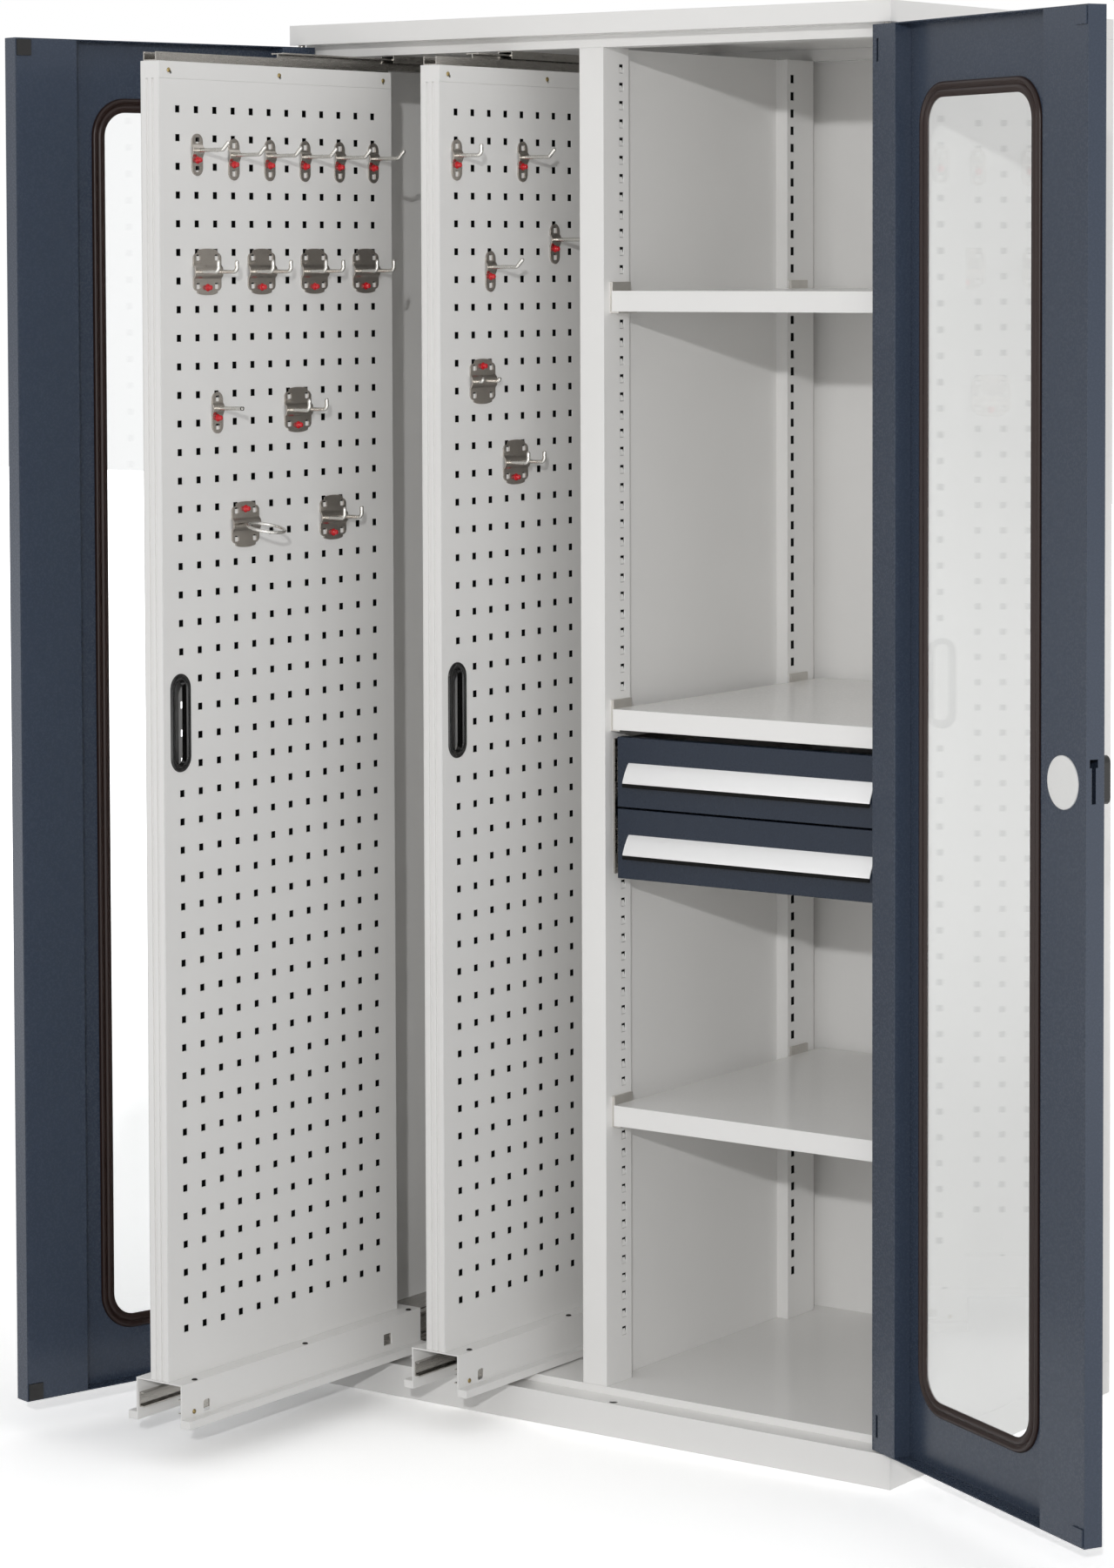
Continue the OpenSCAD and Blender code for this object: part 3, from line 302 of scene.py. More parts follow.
def boss(outline, radius, around=32):
    """A turned boss: each outline point (share of the radius, height) becomes a circle of that radius at that
    height. Rings are (share * radius * cos, share * radius * sin, height), in mm."""
    angle = np.linspace(0, 2 * np.pi, around, endpoint=False)
    ring = radius * np.stack([np.cos(angle), np.sin(angle)], -1)
    share, height = np.array(outline, float).T
    flat = share[:, None, None] * ring
    return np.concatenate([flat, np.broadcast_to(height[:, None, None], flat.shape[:2] + (1,))], -1)


PANEL_X, PANEL_PITCH, PANEL_FRONTS = -341, 207, (-768, -430)


def on_panel(i, points, at=((0, 0, 0),)):
    """Moves (out of the near sheet, behind the front, height) in mm to the room, once for each place in at."""
    front = np.array((PANEL_X + PANEL_PITCH * i, PANEL_FRONTS[i], 0.0))
    moved = points[None] + np.array(at, float).reshape((-1,) + (1,) * (points.ndim - 1) + (3,))
    return (moved + front) / 1000


def facing(points, turn):
    """Re-orders a boss's (a, b, height) axes: turn gives, for out, behind and up, which axis and which sign."""
    return np.stack([points[..., abs(t) - 1] * np.sign(t) for t in turn], -1)


# Grips of the pull-out panels: black moulded rings snapped into a slot of each sheet.
# A rounded lip lies on the sheet and a sleeve goes through it. To the eye: a bright line along the lip.
def obround_path(width, height, steps=20):
    """Points and outward normals round a slot with half-round ends: two half circles of the width's half."""
    angle = np.linspace(0, np.pi, steps)
    arc = np.stack([np.cos(angle), np.sin(angle)], -1)
    normal = np.concatenate([arc, -arc])
    shift = np.concatenate([np.full(steps, height / 2 - width / 2), np.full(steps, width / 2 - height / 2)])
    return normal * width / 2 + np.stack([0 * shift, shift], -1), normal


def carried(path, normal, profile):
    """A closed profile (distance inwards, height) carried along a flat closed path: each path point moved
    inwards along its normal, and raised. Rings are (across, along, height)."""
    inward, height = np.array(profile, float).T
    flat = path[:, None] - normal[:, None] * inward[None, :, None]
    return np.concatenate([flat, np.broadcast_to(height[None, :, None], flat.shape[:2] + (1,))], -1)


GRIP_WIDTH, GRIP_HEIGHT, GRIP_BEHIND, GRIP_UP, SHEETS_APART = 41, 132, 34, 1000, 32
GRIP_LIP = [(0, 0), (0.2, 0.9), (0.9, 1.7), (2.4, 2.3), (4.5, 2.5), (6.6, 2.3), (8.1, 1.7), (8.8, 0.9),
            (9, 0), (9, -7), (4.2, -7), (4.2, 0)]
MOULD_GRAIN, MOULD_DEPTH, MOULD_GLOSS = 900.0, 0.00004, 0.05


def moulded(name, colour, rough, shine=0.5):
    """Moulded plastic: even colour with a faint drift, and a fine spark-eroded grain as bump and gloss."""
    material, tree = new_material(name)
    place = add(tree, "TexCoord").outputs["Object"]
    speck = add(tree, "TexNoise", {"Vector": place, "Scale": MOULD_GRAIN, "Detail": 1.0})
    drift = add(tree, "TexNoise", {"Vector": place, "Scale": 25.0, "Detail": 1.0})
    base = np.array(linear(colour))
    pale, dim = np.clip(base * 1.15 + 0.002, 0, 1), base * 0.9
    pale[3], dim[3] = 1, 1
    tint = add(tree, "Mix", {0: drift.outputs[0], 6: tuple(dim), 7: tuple(pale)}, data_type="RGBA")
    gloss = add(tree, "MapRange", {"Value": speck.outputs[0], "To Min": rough - MOULD_GLOSS,
                                   "To Max": rough + MOULD_GLOSS})
    bump = add(tree, "Bump", {"Strength": 0.3, "Distance": MOULD_DEPTH, "Height": speck.outputs[0]})
    plastic = add(tree, "BsdfPrincipled", {"Base Color": tint.outputs[2], "Roughness": gloss.outputs[0],
                                           "Specular IOR Level": shine, "Normal": bump.outputs[0]})
    add(tree, "OutputMaterial", {"Surface": plastic.outputs[0]})
    return material


black_gloss = moulded("glossy black moulded ABS", "#0B0A0A", rough=0.16)
path, normal = obround_path(GRIP_WIDTH, GRIP_HEIGHT)
ring = carried(path, normal, GRIP_LIP)
near = facing(ring, (3, 1, 2))
far = facing(ring, (-3, 1, 2)) - np.array((SHEETS_APART, 0, 0))
for i in (0, 1):
    both = np.concatenate([on_panel(i, near, [(0, GRIP_BEHIND, GRIP_UP)]),
                           on_panel(i, far, [(0, GRIP_BEHIND, GRIP_UP)])])
    piece(f"panel_{i + 1}_grip_rings", [(both, True)], black_gloss, f"panel_{i + 1}",
          hides=[f"panel_{i + 1}_grips"])


def reach_out(centre, direction, inside, far=80.0):
    """Distance from a centre to a region's outline in each direction, by halving the step 40 times."""
    low, high = np.zeros(len(direction)), np.full(len(direction), far)
    for _ in range(40):
        middle = (low + high) / 2
        hit = inside(centre + middle[:, None] * direction)
        low, high = np.where(hit, middle, low), np.where(hit, high, middle)
    return low


# Between a panel's two sheets: a thin black sheet inside the folded frame, with a cut-out round
# the grip. It is painted shade: it stands in for the shade inside the panel, which makes the square holes black.
LINING_BEHIND, LINING_UP, LINING_T, LINING_OUT = (8, 510), (126, 1856), 1.0, -16
GRIP_CLEAR, LINING_RAYS = 2, 96
# Black that stands in for shade: painted shade behind the holes of the panels and the slots of the uprights.
shade_black = moulded("black sheet standing in for shade", "#0A0A0A", rough=0.8)
centre = np.array((GRIP_BEHIND, GRIP_UP), float)
corners = [(b, u) for b in LINING_BEHIND for u in LINING_UP]
angle = np.linspace(-np.pi, np.pi, LINING_RAYS, endpoint=False)
angle = np.unique(np.concatenate([angle, [np.arctan2(u - centre[1], b - centre[0]) for b, u in corners]]))
direction = np.stack([np.cos(angle), np.sin(angle)], -1)
half = GRIP_WIDTH / 2 + GRIP_CLEAR
inner = reach_out(np.zeros(2), direction, lambda p: np.hypot(
    p[:, 0], np.maximum(np.abs(p[:, 1]) - (GRIP_HEIGHT - GRIP_WIDTH) / 2, 0)) < half)
outer = reach_out(centre, direction, lambda p: (p[:, 0] > LINING_BEHIND[0]) & (p[:, 0] < LINING_BEHIND[1])
                  & (p[:, 1] > LINING_UP[0]) & (p[:, 1] < LINING_UP[1]), far=1200.0)
reach = np.stack([inner, outer, outer, inner])
flat = centre + reach[..., None] * direction
out = LINING_OUT + LINING_T / 2 * np.array([1, 1, -1, -1])
board = np.concatenate([np.broadcast_to(out[:, None, None], flat.shape[:2] + (1,)), flat], -1)
for i in (0, 1):
    piece(f"panel_{i + 1}_shade_sheet", [(on_panel(i, board), True)], shade_black, f"panel_{i + 1}")


# Inside of the slotted uprights: a folded black channel stands behind each column of slots as painted shade, for
# the dark inside of the closed upright, and in the front columns a tongue is pressed inwards from the lower edge
# of each slot, for the shelf clips to rest on.
FLOOR_TOP, RAIL_LOW, SLOT_TOP, SLOT_PITCH, SLOTS = 57, 1905, 1877, 25, 71
BAY_WIDTH, CHANNEL_CLEAR, TONGUE_HALF = 500, 3, 4.6
FRONT_SLOTS, REAR_SLOTS = -220.0, 215.5
INNER = [(14.2, -12), (14.2, 14), (9, 14), (9, 13.2), (13.4, 13.2), (13.4, -11.2), (9, -11.2), (9, -12)]
TONGUE = [(18.6, -5.6), (19.9, -5.6), (17.6, 2.2), (16.6, 2.2)]


def on_column(points, column, behind):
    """Moves (x of the centre post's right face, along the slot's width, height) in mm to one column of slots:
    those of the centre post and behind it as they are, the right wall's mirrored, the left wall's moved."""
    x = {"post": points[..., 0], "right": BAY_WIDTH - points[..., 0], "left": points[..., 0] - BAY_WIDTH}[column]
    return np.stack([x, points[..., 1] + behind, points[..., 2]], -1) / 1000


ends = FLOOR_TOP + CHANNEL_CLEAR, RAIL_LOW - CHANNEL_CLEAR
inner = np.array([[(x, y, z) for x, y in INNER] for z in ends], float)
channels = [on_column(inner, c, FRONT_SLOTS) for c in ("post", "right", "left")]
channels += [on_column(inner, c, REAR_SLOTS) for c in ("post", "right")]
piece("upright_shade_channels", [(c[None], False) for c in channels], shade_black, "cabinet")
heights = SLOT_TOP - SLOT_PITCH * np.arange(SLOTS)
tongue = np.array([[(x, y, z) for x, z in TONGUE] for y in (-TONGUE_HALF, TONGUE_HALF)], float)
tongues = tongue[None] + np.stack([0 * heights, 0 * heights, heights], -1)[:, None, None]
piece("slot_tongues", [(on_column(tongues, c, FRONT_SLOTS), False) for c in ("post", "right", "left")],
      light_coat, "cabinet")


# Tool hooks: pressed and nickel-plated steel plates that hang in the square holes, each with a bright
# wire welded into a trough across it, and locked by a red nylon stud. To the eye: warm grey plates that catch
# the light on the trough's sides, whiter wires, and studs with one sharp highlight.
PLATE_T, WIRE_RADIUS, WIRE_START, WIRE_UP = 2.0, 2.75, 1.0, 6
ROW_TOP, COLUMN, PITCH = 1817, 37, 38


def hole_place(column, row, drop):
    """Where a plate's middle is on the sheet: its column and row of holes, and its drop below the row."""
    return (0, COLUMN + column * PITCH, ROW_TOP - row * PITCH - drop)


def plate_part(centre, window, corners, inside, rings=9, around=72):
    """A grid between a square window with soft corners and the region round it: the ring's share goes from
    the window (r = half / (|cos|^8 + |sin|^8)^(1/8)) to the outline. The region's corners get their own rays."""
    angle = np.linspace(-np.pi, np.pi, around, endpoint=False)
    special = [np.arctan2(b - centre[1], a - centre[0]) for a, b in corners]
    angle = np.unique(np.concatenate([angle, special]))
    direction = np.stack([np.cos(angle), np.sin(angle)], -1)
    inner = window / 2 * (np.abs(direction) ** 8).sum(-1) ** (-1 / 8)
    outer = reach_out(np.array(centre, float), direction, inside)
    share = np.linspace(0, 1, rings)[:, None]
    return np.array(centre) + ((1 - share) * inner + share * outer)[..., None] * direction


def pressed(flat, trough_at, trough_half, rise):
    """Raises a flat plate (across, up) into (out, across, up): out = rise * (1 + cos(pi * s^2.2)) / 2 over the
    trough, with s = distance from its middle / its half height, at most 1."""
    s = np.clip(np.abs(flat[..., 1] - trough_at) / trough_half, 0, 1)
    out = PLATE_T / 2 + rise * (0.5 + 0.5 * np.cos(np.pi * s ** 2.2))
    return np.concatenate([out[..., None], flat], -1)


def sheet_piece(name, parts, places, i, material, hides):
    """Plates from grids of (out, across, up): copies at the places, joined where their edges meet, thickened
    by a Solidify and softened by a Bevel."""
    corners, faces, start = [], [], 0
    for part in parts:
        points = on_panel(i, part, places)
        copies, rings, around, _ = points.shape
        index = np.arange(copies * rings * around).reshape(copies, rings, around)
        quads = np.stack([index[:, :-1], np.roll(index[:, :-1], -1, 2), np.roll(index[:, 1:], -1, 2),
                          index[:, 1:]], -1).reshape(-1, 4)
        flat = points.reshape(-1, 3)
        a, b, c = (flat[quads[:, k]] for k in range(3))
        if np.cross(b - a, c - a)[:, 0].sum() < 0:
            quads = quads[:, ::-1]
        faces += (quads + start).tolist()
        corners.append(flat)
        start += len(flat)
    flat, faces = np.concatenate(corners), np.array(faces)
    _, first, same = np.unique(np.round(flat, 6), axis=0, return_index=True, return_inverse=True)
    mesh = bpy.data.meshes.new(name)
    mesh.from_pydata(flat[first].tolist(), [], same.reshape(-1)[faces].tolist())
    mesh.validate()
    mesh.shade_smooth()
    mesh.materials.append(material)
    made = bpy.data.objects.new(name, mesh)
    scene.collection.objects.link(made)
    wall = made.modifiers.new("sheet", "SOLIDIFY")
    wall.thickness, wall.offset, wall.use_even_offset = PLATE_T / 1000, 0, False
    soft = made.modifiers.new("soft edges", "BEVEL")
    soft.width, soft.segments, soft.limit_method, soft.angle_limit = 0.0004, 2, "ANGLE", np.radians(50)
    soft.harden_normals = True
    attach(made, f"panel_{i + 1}")
    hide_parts(*hides)


def hoop(radius, tube, out, up, dip, around=48, section=14):
    """A ring of wire: a circle of the tube's radius carried round a circle of the ring's, which tilts down away
    from the plate. Rings are (out, across, up)."""
    turn = np.linspace(0, 2 * np.pi, around, endpoint=False)
    loop = np.linspace(0, 2 * np.pi, section, endpoint=False)
    reach = radius + tube * np.cos(loop)[None]
    flat = reach * np.cos(turn)[:, None]
    lift = np.broadcast_to(tube * np.sin(loop)[None], flat.shape)
    tilt = np.radians(-dip)
    return np.stack([out + flat * np.cos(tilt) - lift * np.sin(tilt), reach * np.sin(turn)[:, None],
                     up + flat * np.sin(tilt) + lift * np.cos(tilt)], -1)


def wire(out, rise, up, bend):
    """A wire straight out from a plate, bent up by rise degrees on an arc of radius bend, with a domed end:
    circles carried along line, arc and line. The path lies in (out, up); rings are (out, across, up)."""
    turn = np.radians(rise)
    tail = up - bend * np.tan(turn / 2) if rise else 0.0
    straight = out - (bend * np.tan(turn / 2) if rise else 0.0)
    angle = np.linspace(0, turn, 9 if rise else 1)
    bow = np.stack([straight + bend * np.sin(angle), bend * (1 - np.cos(angle))], -1)
    ahead = np.array([np.cos(turn), np.sin(turn)])
    dome = np.array([0.0, 0.5, 0.8, 0.95, 1.0])
    tip = bow[-1] + ahead * (tail - WIRE_RADIUS + WIRE_RADIUS * dome)[:, None]
    path = np.concatenate([[(WIRE_START, 0)], bow, tip])
    heading = np.concatenate([[0], angle, np.full(len(dome), turn)])
    size = np.concatenate([np.full(1 + len(angle), WIRE_RADIUS), WIRE_RADIUS * np.sqrt(1.0001 - dome ** 2)])
    loop = np.linspace(0, 2 * np.pi, 16, endpoint=False)
    side, lift = np.cos(loop)[None] * size[:, None], np.sin(loop)[None] * size[:, None]
    return np.stack([path[:, 0, None] - np.sin(heading)[:, None] * lift, side,
                     path[:, 1, None] + np.cos(heading)[:, None] * lift], -1)


plate_nickel = plated("nickel-plated pressed steel", "#B7B1AA", rough=0.24, streak=0.25, cloud=0.10)
wire_nickel = plated("nickel-plated steel wire", "#C9C7C2", rough=0.26, streak=0.3)

PLATE_WINDOW = 8
NARROW_WIDTH, NARROW_HEIGHT, NARROW_WINDOW_UP = 22, 56, 19


def narrow_half(p):
    """Inside the upper half of the narrow plate: straight sides under a half circle."""
    centre_up = (NARROW_HEIGHT - NARROW_WIDTH) / 2
    return (np.abs(p[:, 0]) < NARROW_WIDTH / 2) & (p[:, 1] > 0) & (
        (p[:, 1] < centre_up) | (np.hypot(p[:, 0], p[:, 1] - centre_up) < NARROW_WIDTH / 2))


upper = plate_part((0, NARROW_WINDOW_UP), PLATE_WINDOW, [(-NARROW_WIDTH / 2, 0), (NARROW_WIDTH / 2, 0)],
                   narrow_half)
narrow = [pressed(half, 5.5, 7.5, 2.6) for half in (upper, upper * (1, -1))]

WIDE_WIDTH, WIDE_HEIGHT, WIDE_CROWN, WIDE_WINDOW_AT = 57, 62, 6, (19, 19)
WIDE_CORNER_AT, WIDE_CORNER_RADIUS = (20.5, 17), 8.4


def wide_quarter(p):
    """Inside one quarter of the wide plate: its top falls by crown * (a / half width)^2.5, and its corner is
    rounded."""
    a, b = p[:, 0], p[:, 1]
    top = WIDE_HEIGHT / 2 - WIDE_CROWN * (np.maximum(a, 0) / (WIDE_WIDTH / 2)) ** 2.5
    corner = np.hypot(np.maximum(a - WIDE_CORNER_AT[0], 0), np.maximum(b - WIDE_CORNER_AT[1], 0))
    rounded = (a < WIDE_WIDTH / 2) & (corner < WIDE_CORNER_RADIUS)
    return (a > 0) & (b > 0) & (b < top) & ((a < WIDE_CORNER_AT[0]) | rounded)


quarter = plate_part(WIDE_WINDOW_AT, PLATE_WINDOW, [(0, 0), (WIDE_WIDTH / 2, 0), (0, WIDE_HEIGHT / 2)],
                     wide_quarter)
wide = [pressed(quarter * flip, 0, 9, 3.5) for flip in ((1, 1), (-1, 1), (1, -1), (-1, -1))]

# Each kind of hook: how far its wire goes out, its rise in degrees and in mm, and the radius of its bend.
# The first three have one wire on a narrow plate, the others two on a wide one, PAIR_HALF to either side.
ONE_WIRE = {"narrow": (46, 45, 16, 6.0), "straight": (46, 0, 0, 6.0), "upright": (43, 90, 16, 6.0)}
TWO_WIRES = {"wide": (37, 90, 16, 6.0), "short": (16, 90, 6, 4.0)}
PAIR_HALF, NARROW_STUD_LOW, WIDE_STUD_LOW = 19, 7, 21
# The ring's stem is such a wire. The ring: its radius, its wire's, its place out and up, its dip in degrees.
RING_STEM, RING = (11.5, 0, 0, 6.0), (26, 2.25, 37, -4, 12)
# Where they hang: column of holes, row of holes, drop in mm below that row.
hooks = {
    0: {"narrow": [(c, 1.5, 3 if c == 1 else 8) for c in (1, 3, 5, 7, 9, 11)], "straight": [(2, 10.5, 6)],
        "upright": [], "wide": [(c, 5.5, 7) for c in (1.5, 4.5, 7.5, 10.5)] + [(6.5, 10.5, 7), (8.5, 14.5, 7)],
        "short": [], "ring": [(3.5, 14.5, 7)]},
    1: {"narrow": [(4, 1.5, 8), (6, 4.5, 8), (2, 5.5, 8)], "straight": [], "upright": [(0, 1.5, 8)],
        "wide": [(3.5, 12.5, 7)], "short": [(1.5, 9.5, 7)], "ring": []}}
STUD_RADIUS, STUD_OUT = 3.6, 1.9
STUD = [(1.35, 0), (1.4, 0.5), (1.3, 0.9), (0.98, 1.2), (1.0, 4.6), (0.95, 5.6), (0.8, 6.5), (0.55, 7.1),
        (0.25, 7.4)]
red_gloss = moulded("glossy red moulded nylon", "#C5121F", rough=0.14)
for i, kinds in hooks.items():
    name = f"panel_{i + 1}"
    singles = [hole_place(*h) for kind in ONE_WIRE for h in kinds[kind]]
    sheet_piece(name + "_narrow_plates", narrow, singles, i, plate_nickel, [name + "_single_hooks"])
    broad = [hole_place(*h) for h in kinds["wide"] + kinds["short"] + kinds["ring"]]
    sheet_piece(name + "_wide_plates", wide, broad, i, plate_nickel,
                [name + "_double_hooks"] + (["panel_1_ring_hook"] if i == 0 else []))
    wires = []
    for kind, bent in ONE_WIRE.items():
        if kinds[kind]:
            at = np.array([hole_place(*h) for h in kinds[kind]]) + (0, 0, WIRE_UP)
            wires.append((on_panel(i, wire(*bent), at), False))
    for kind, bent in TWO_WIRES.items():
        if kinds[kind]:
            pairs = [(0, -PAIR_HALF, 0), (0, PAIR_HALF, 0)]
            at = np.array([hole_place(*h) for h in kinds[kind]])[:, None] + pairs
            wires.append((on_panel(i, wire(*bent), at.reshape(-1, 3)), False))
    for h in kinds["ring"]:
        wires.append((on_panel(i, wire(*RING_STEM), [hole_place(*h)]), False))
        wires.append((on_panel(i, hoop(*RING), [hole_place(*h)]), True))
    piece(name + "_hook_wires", wires, wire_nickel, name)
    low = [hole_place(c, r, d + NARROW_STUD_LOW) for kind in ONE_WIRE for c, r, d in kinds[kind]]
    low += [hole_place(c, r, d + WIDE_STUD_LOW) for c, r, d in kinds["wide"]]
    low += [hole_place(c, r, d - WIDE_STUD_LOW) for c, r, d in kinds["short"] + kinds["ring"]]
    stud = facing(boss(STUD, STUD_RADIUS), (3, 1, 2)) + np.array((STUD_OUT, 0, 0))
    piece(name + "_hook_studs", [(on_panel(i, stud, low), False)], red_gloss, name,
          hides=[name + "_hook_clips"])


# Screws of a panel's top band, rivet in its carriage's wall and screws of its carriage's ledge: small domed
# steel heads. The first two are chromated and look brassy, the ledge's are black.
HEAD = [(1.0, 0), (1.0, 0.5), (0.9, 1.1), (0.65, 1.6), (0.3, 1.85)]
RIVET_RADIUS, SCREW_RADIUS = 3.2, 4.0
BAND_SCREWS = [(0.3, behind, 1868) for behind in (19, 249, 479)]
CARRIAGE_RIVETS = [(24.2, 23, 77)]
LEDGE_SCREWS = [(18.5, behind, 117.2) for behind in (31, 266, 500)]
yellow_zinc = plated("yellow chromated steel", "#9C8A5E", rough=0.35, streak=0.2)
dark_steel = plated("black oxide steel", "#3A3836", rough=0.38, streak=0.2)
head = facing(boss(HEAD, RIVET_RADIUS, around=20), (3, 1, 2))
knot = boss(HEAD, SCREW_RADIUS, around=20)
for i in (0, 1):
    name = f"panel_{i + 1}"
    piece(name + "_band_screws", [(on_panel(i, head, BAND_SCREWS), False)], yellow_zinc, name)
    piece(name + "_carriage_rivets", [(on_panel(i, head, CARRIAGE_RIVETS), False)], yellow_zinc, name)
    piece(name + "_ledge_screws", [(on_panel(i, knot, LEDGE_SCREWS), False)], dark_steel, name)


# Doors: leaves of folded sheet steel with a stiffening channel welded along each upright edge, hung on pins.
# To the eye a smooth satin blue-grey, with a strong painted highlight that lightens it along its folds.
dark_coat = powder_coat("dark blue-grey powder-coated steel", "#394353", rough=0.27, painted_fold_highlight=0.7, shine=0.36,
                        peel_depth=0.07)
for d in ("left_door", "right_door"):
    dress(dark_coat, d + "_skin", d + "_channels")


# Drawers: steel trays on ball slides, each with a folded front and, hooked over it, a sloping strip of anodised
# aluminium, with a black strip under its nose that is painted shadow. To the eye: a front darker than the doors,
# a nearly white strip with a faint sheen along it, and a black line below it, which is that painted shadow.
# The drawer front is made lighter along its folds by the same painted highlight as the doors.
front_coat = powder_coat("dark slate powder-coated steel", "#212B3A", rough=0.28, painted_fold_highlight=0.6, shine=0.22,
                         peel_depth=0.07)
aluminium = plated("satin anodised aluminium extrusion", "#FCFCFC", rough=0.5, streak=0.3, cloud=0.02,
                   grain=(2.0, 90.0, 90.0), metallic=0.25)
for d in ("drawer_1", "drawer_2"):
    dress(front_coat, d + "_front")
    dress(light_coat, d + "_tray")
    dress(zinc, d + "_slide_mids")
painted_shadow_black = moulded("matt black painted shadow line", "#060606", rough=0.6, shine=0.12)
STRIP_CUT, STRIP_END = 0.6, 0.96
STRIP_X, FRONT_Y, DRAWER_Z = (52.0, 448.0), -253.0, {"drawer_1": 864.5, "drawer_2": 765.5}
SLOPE = [(0.0, 61.2), (3.0, 57.8), (6.3, 53.0), (9.6, 47.4), (12.6, 41.4), (14.8, 36.4), (15.2, 34.9),
         (14.9, 34.0), (13.9, 34.0), (13.4, 35.2), (11.6, 39.6), (8.4, 46.0), (5.0, 51.6), (1.8, 56.2),
         (1.8, 47.0), (0.1, 47.0)]
NOSE_SHADOW = [(15.1, 34.2), (15.7, 33.6), (15.7, 29.6), (15.1, 28.8), (13.9, 28.8), (13.3, 29.6), (13.3, 33.4)]


def along_drawer(profile, drawer):
    """A closed profile (out of the drawer's front, height) carried straight along the strip. Over the last
    STRIP_CUT it shrinks to STRIP_END of its size, so it looks cut and deburred. Rings are (x, y, height)."""
    profile = np.array(profile, float)
    middle = profile.mean(0)
    x = np.array([STRIP_X[0], STRIP_X[0] + STRIP_CUT, STRIP_X[1] - STRIP_CUT, STRIP_X[1]])
    scale = np.array([STRIP_END, 1.0, 1.0, STRIP_END])[:, None, None]
    flat = middle + (profile - middle) * scale
    return np.stack([np.broadcast_to(x[:, None], flat.shape[:2]), FRONT_Y - flat[..., 0],
                     DRAWER_Z[drawer] + flat[..., 1]], -1)[None] / 1000


for d in DRAWER_Z:
    piece(d + "_strip", [(along_drawer(SLOPE, d), False)], aluminium, d, hides=[d + "_handle"],
          crease=40)
    # Painted shadow: a black strip under the strip's nose stands in for the shade beneath it.
    piece(d + "_nose_shadow", [(along_drawer(NOSE_SHADOW, d), False)], painted_shadow_black, d)


# Doors' panes: clear cast acrylic, held in the rubber profiles.
# To the eye: clear, with the room and the panels mirrored in it. Light for the rest of the scene goes straight
# through, a little dimmed, so that a pane throws a faint shadow.
pane_clear, tree = new_material("clear cast acrylic sheet")
rays = add(tree, "LightPath")
glass = add(tree, "BsdfPrincipled", {"Base Color": (0.97, 0.98, 0.98, 1), "Roughness": 0.0, "IOR": 1.49,
                                     "Transmission Weight": 1.0})
through = add(tree, "BsdfTransparent", {"Color": (0.92, 0.93, 0.93, 1)})
mixed = add(tree, "MixShader", {0: rays.outputs["Is Shadow Ray"], 1: glass.outputs[0], 2: through.outputs[0]})
add(tree, "OutputMaterial", {"Surface": mixed.outputs[0]})
dress(pane_clear, "left_door_window", "right_door_window")


# Rubber profiles round the panes: an extruded strip pressed over the edge of the window cut-out.
# Each side shows two rounded ridges with a groove between them, and the pane sits in the strip's middle.
# To the eye: black-brown and half matt, with a soft light line on each ridge.
WINDOW_S, WINDOW_Z, WINDOW_R = (80.0, 362.0), (119.0, 1841.0), 54.0
STRIP = [(0, 1.0), (0.5, 3.6), (2.2, 5.8), (4.5, 6.4), (6.8, 5.7), (8.4, 3.7), (9.6, 3.6), (11.2, 5.8),
         (13.8, 6.5), (16.8, 5.8), (19.2, 4.9), (20, 4.2), (20, -0.2), (19.2, -0.9), (16.8, -1.9),
         (13.8, -2.5), (11.2, -1.9), (9.6, -0.6), (8.4, -0.7), (6.8, -1.8), (4.5, -2.4), (2.2, -1.8),
         (0.5, -0.6)]
DOORS = {"left_door": (-488.0, np.radians(-105.5), 1), "right_door": (488.0, np.radians(152.5), -1)}
PIVOT_ALONG, PIVOT_DEPTH, PIVOT_Y = 11.5, 10, -288


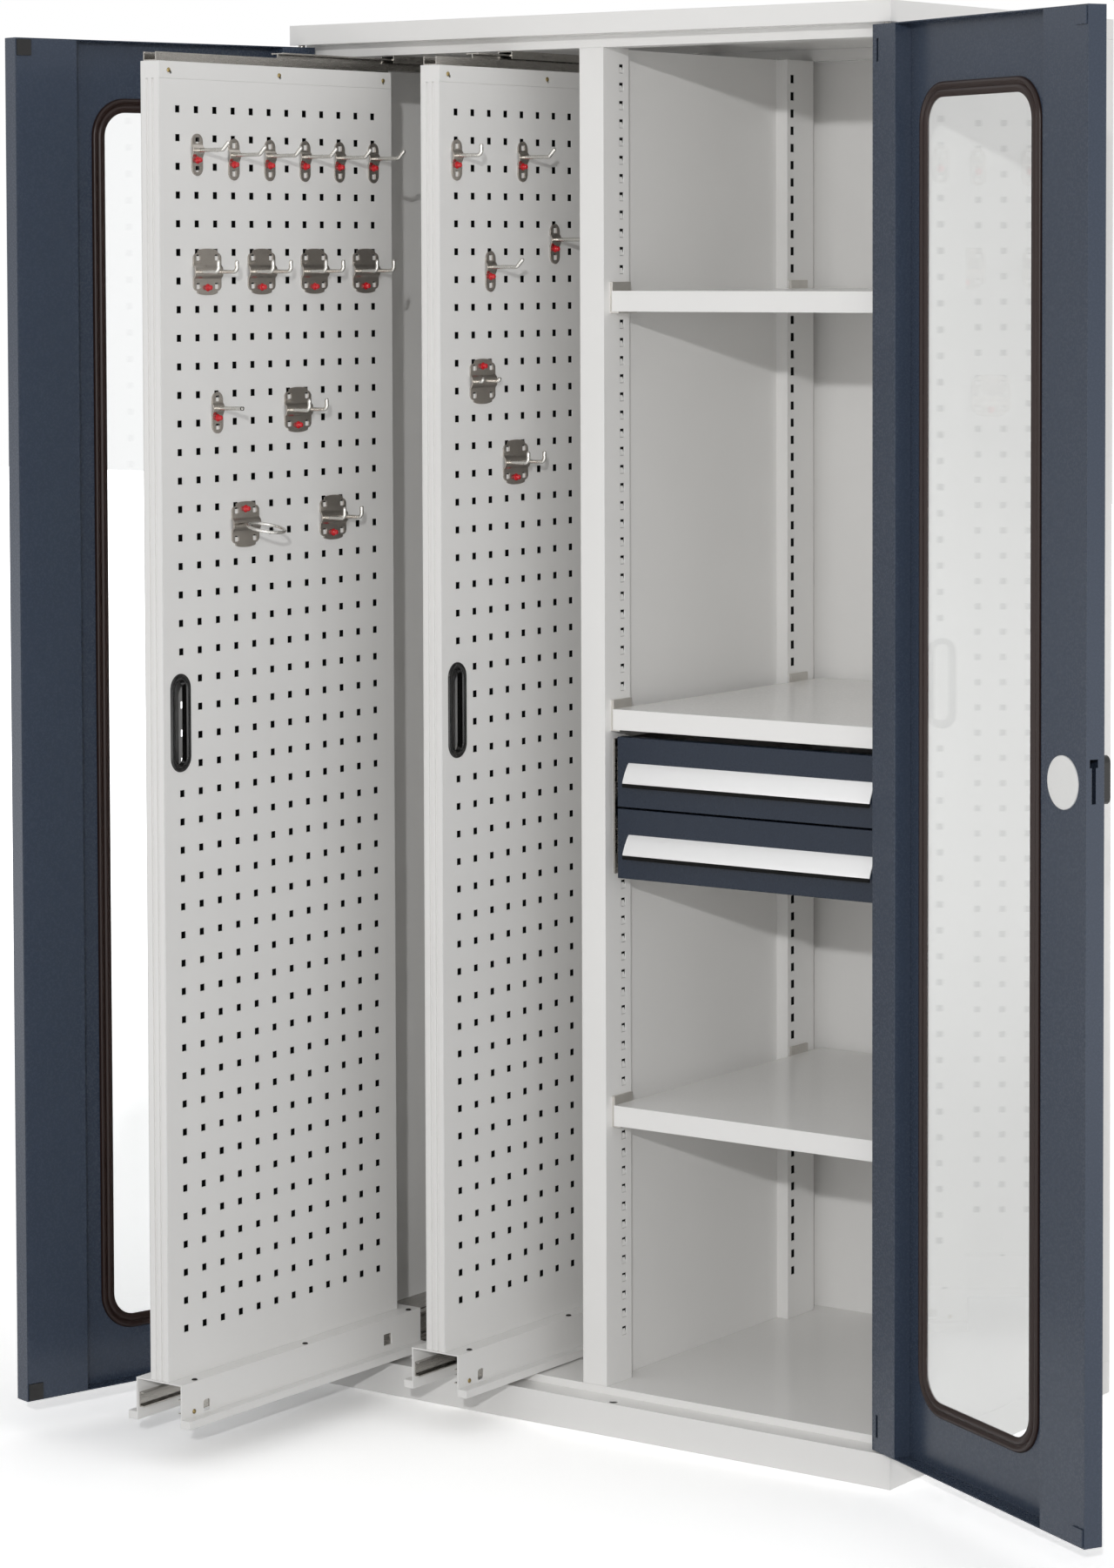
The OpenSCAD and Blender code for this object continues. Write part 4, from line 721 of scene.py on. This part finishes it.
def on_leaf(door, points):
    """Moves (along the leaf from its hinge edge, height, depth behind its face) in mm to the room: both
    distances from the pivot, turned by the leaf's angle about it. DOORS gives the pivot's x, the angle and 1
    or -1 for a leaf that goes right or left from its pivot when shut."""
    pivot, angle, hand = DOORS[door]
    u, v = hand * (points[..., 0] - PIVOT_ALONG), points[..., 2] - PIVOT_DEPTH
    across = pivot + u * np.cos(angle) - v * np.sin(angle)
    behind = PIVOT_Y + u * np.sin(angle) + v * np.cos(angle)
    return np.stack([across, behind, points[..., 1]], -1)[None] / 1000


def rounded_path(low, high, radius, steps=14):
    """Points and outward normals round a rectangle whose corners are quarter circles."""
    quarter = np.linspace(0, np.pi / 2, steps)
    normal = np.concatenate([np.stack([np.cos(quarter + k * np.pi / 2), np.sin(quarter + k * np.pi / 2)], -1)
                             for k in range(4)])
    middle = np.array([(high[0], high[1]), (low[0], high[1]), (low[0], low[1]), (high[0], low[1])], float)
    middle += radius * np.array([(-1, -1), (1, -1), (1, 1), (-1, 1)])
    return np.repeat(middle, steps, 0) + radius * normal, normal


rubber = moulded("black-brown extruded rubber", "#271814", rough=0.34, shine=0.3)
path, normal = rounded_path((WINDOW_S[0], WINDOW_Z[0]), (WINDOW_S[1], WINDOW_Z[1]), WINDOW_R)
for door in DOORS:
    piece(door + "_window_rubber", [(on_leaf(door, carried(path, normal, STRIP)), True)], rubber, door,
          hides=[door + "_gasket"], crease=50)


# Corner bumpers of the doors: moulded caps pushed over the leaf's corners, black on the left door and painted
# with the leaf on the right one. The lock's knob is the same half matt black plastic.
black_plastic = moulded("black moulded plastic", "#161616", rough=0.45)
dress(black_plastic, "left_door_caps", "lock_knob")
dress(dark_coat, "right_door_caps")


# Lock: a flat cover and rose screwed to the leaf, and behind them a zinc-plated cam and two rods.
# To the eye the cover is a pale satin disc.
cover = powder_coat("pale grey enamel", "#F4F4F2", rough=0.3)
dress(cover, "lock_cover")
dress(zinc, "lock_cam", "upper_lock_rod", "lower_lock_rod")
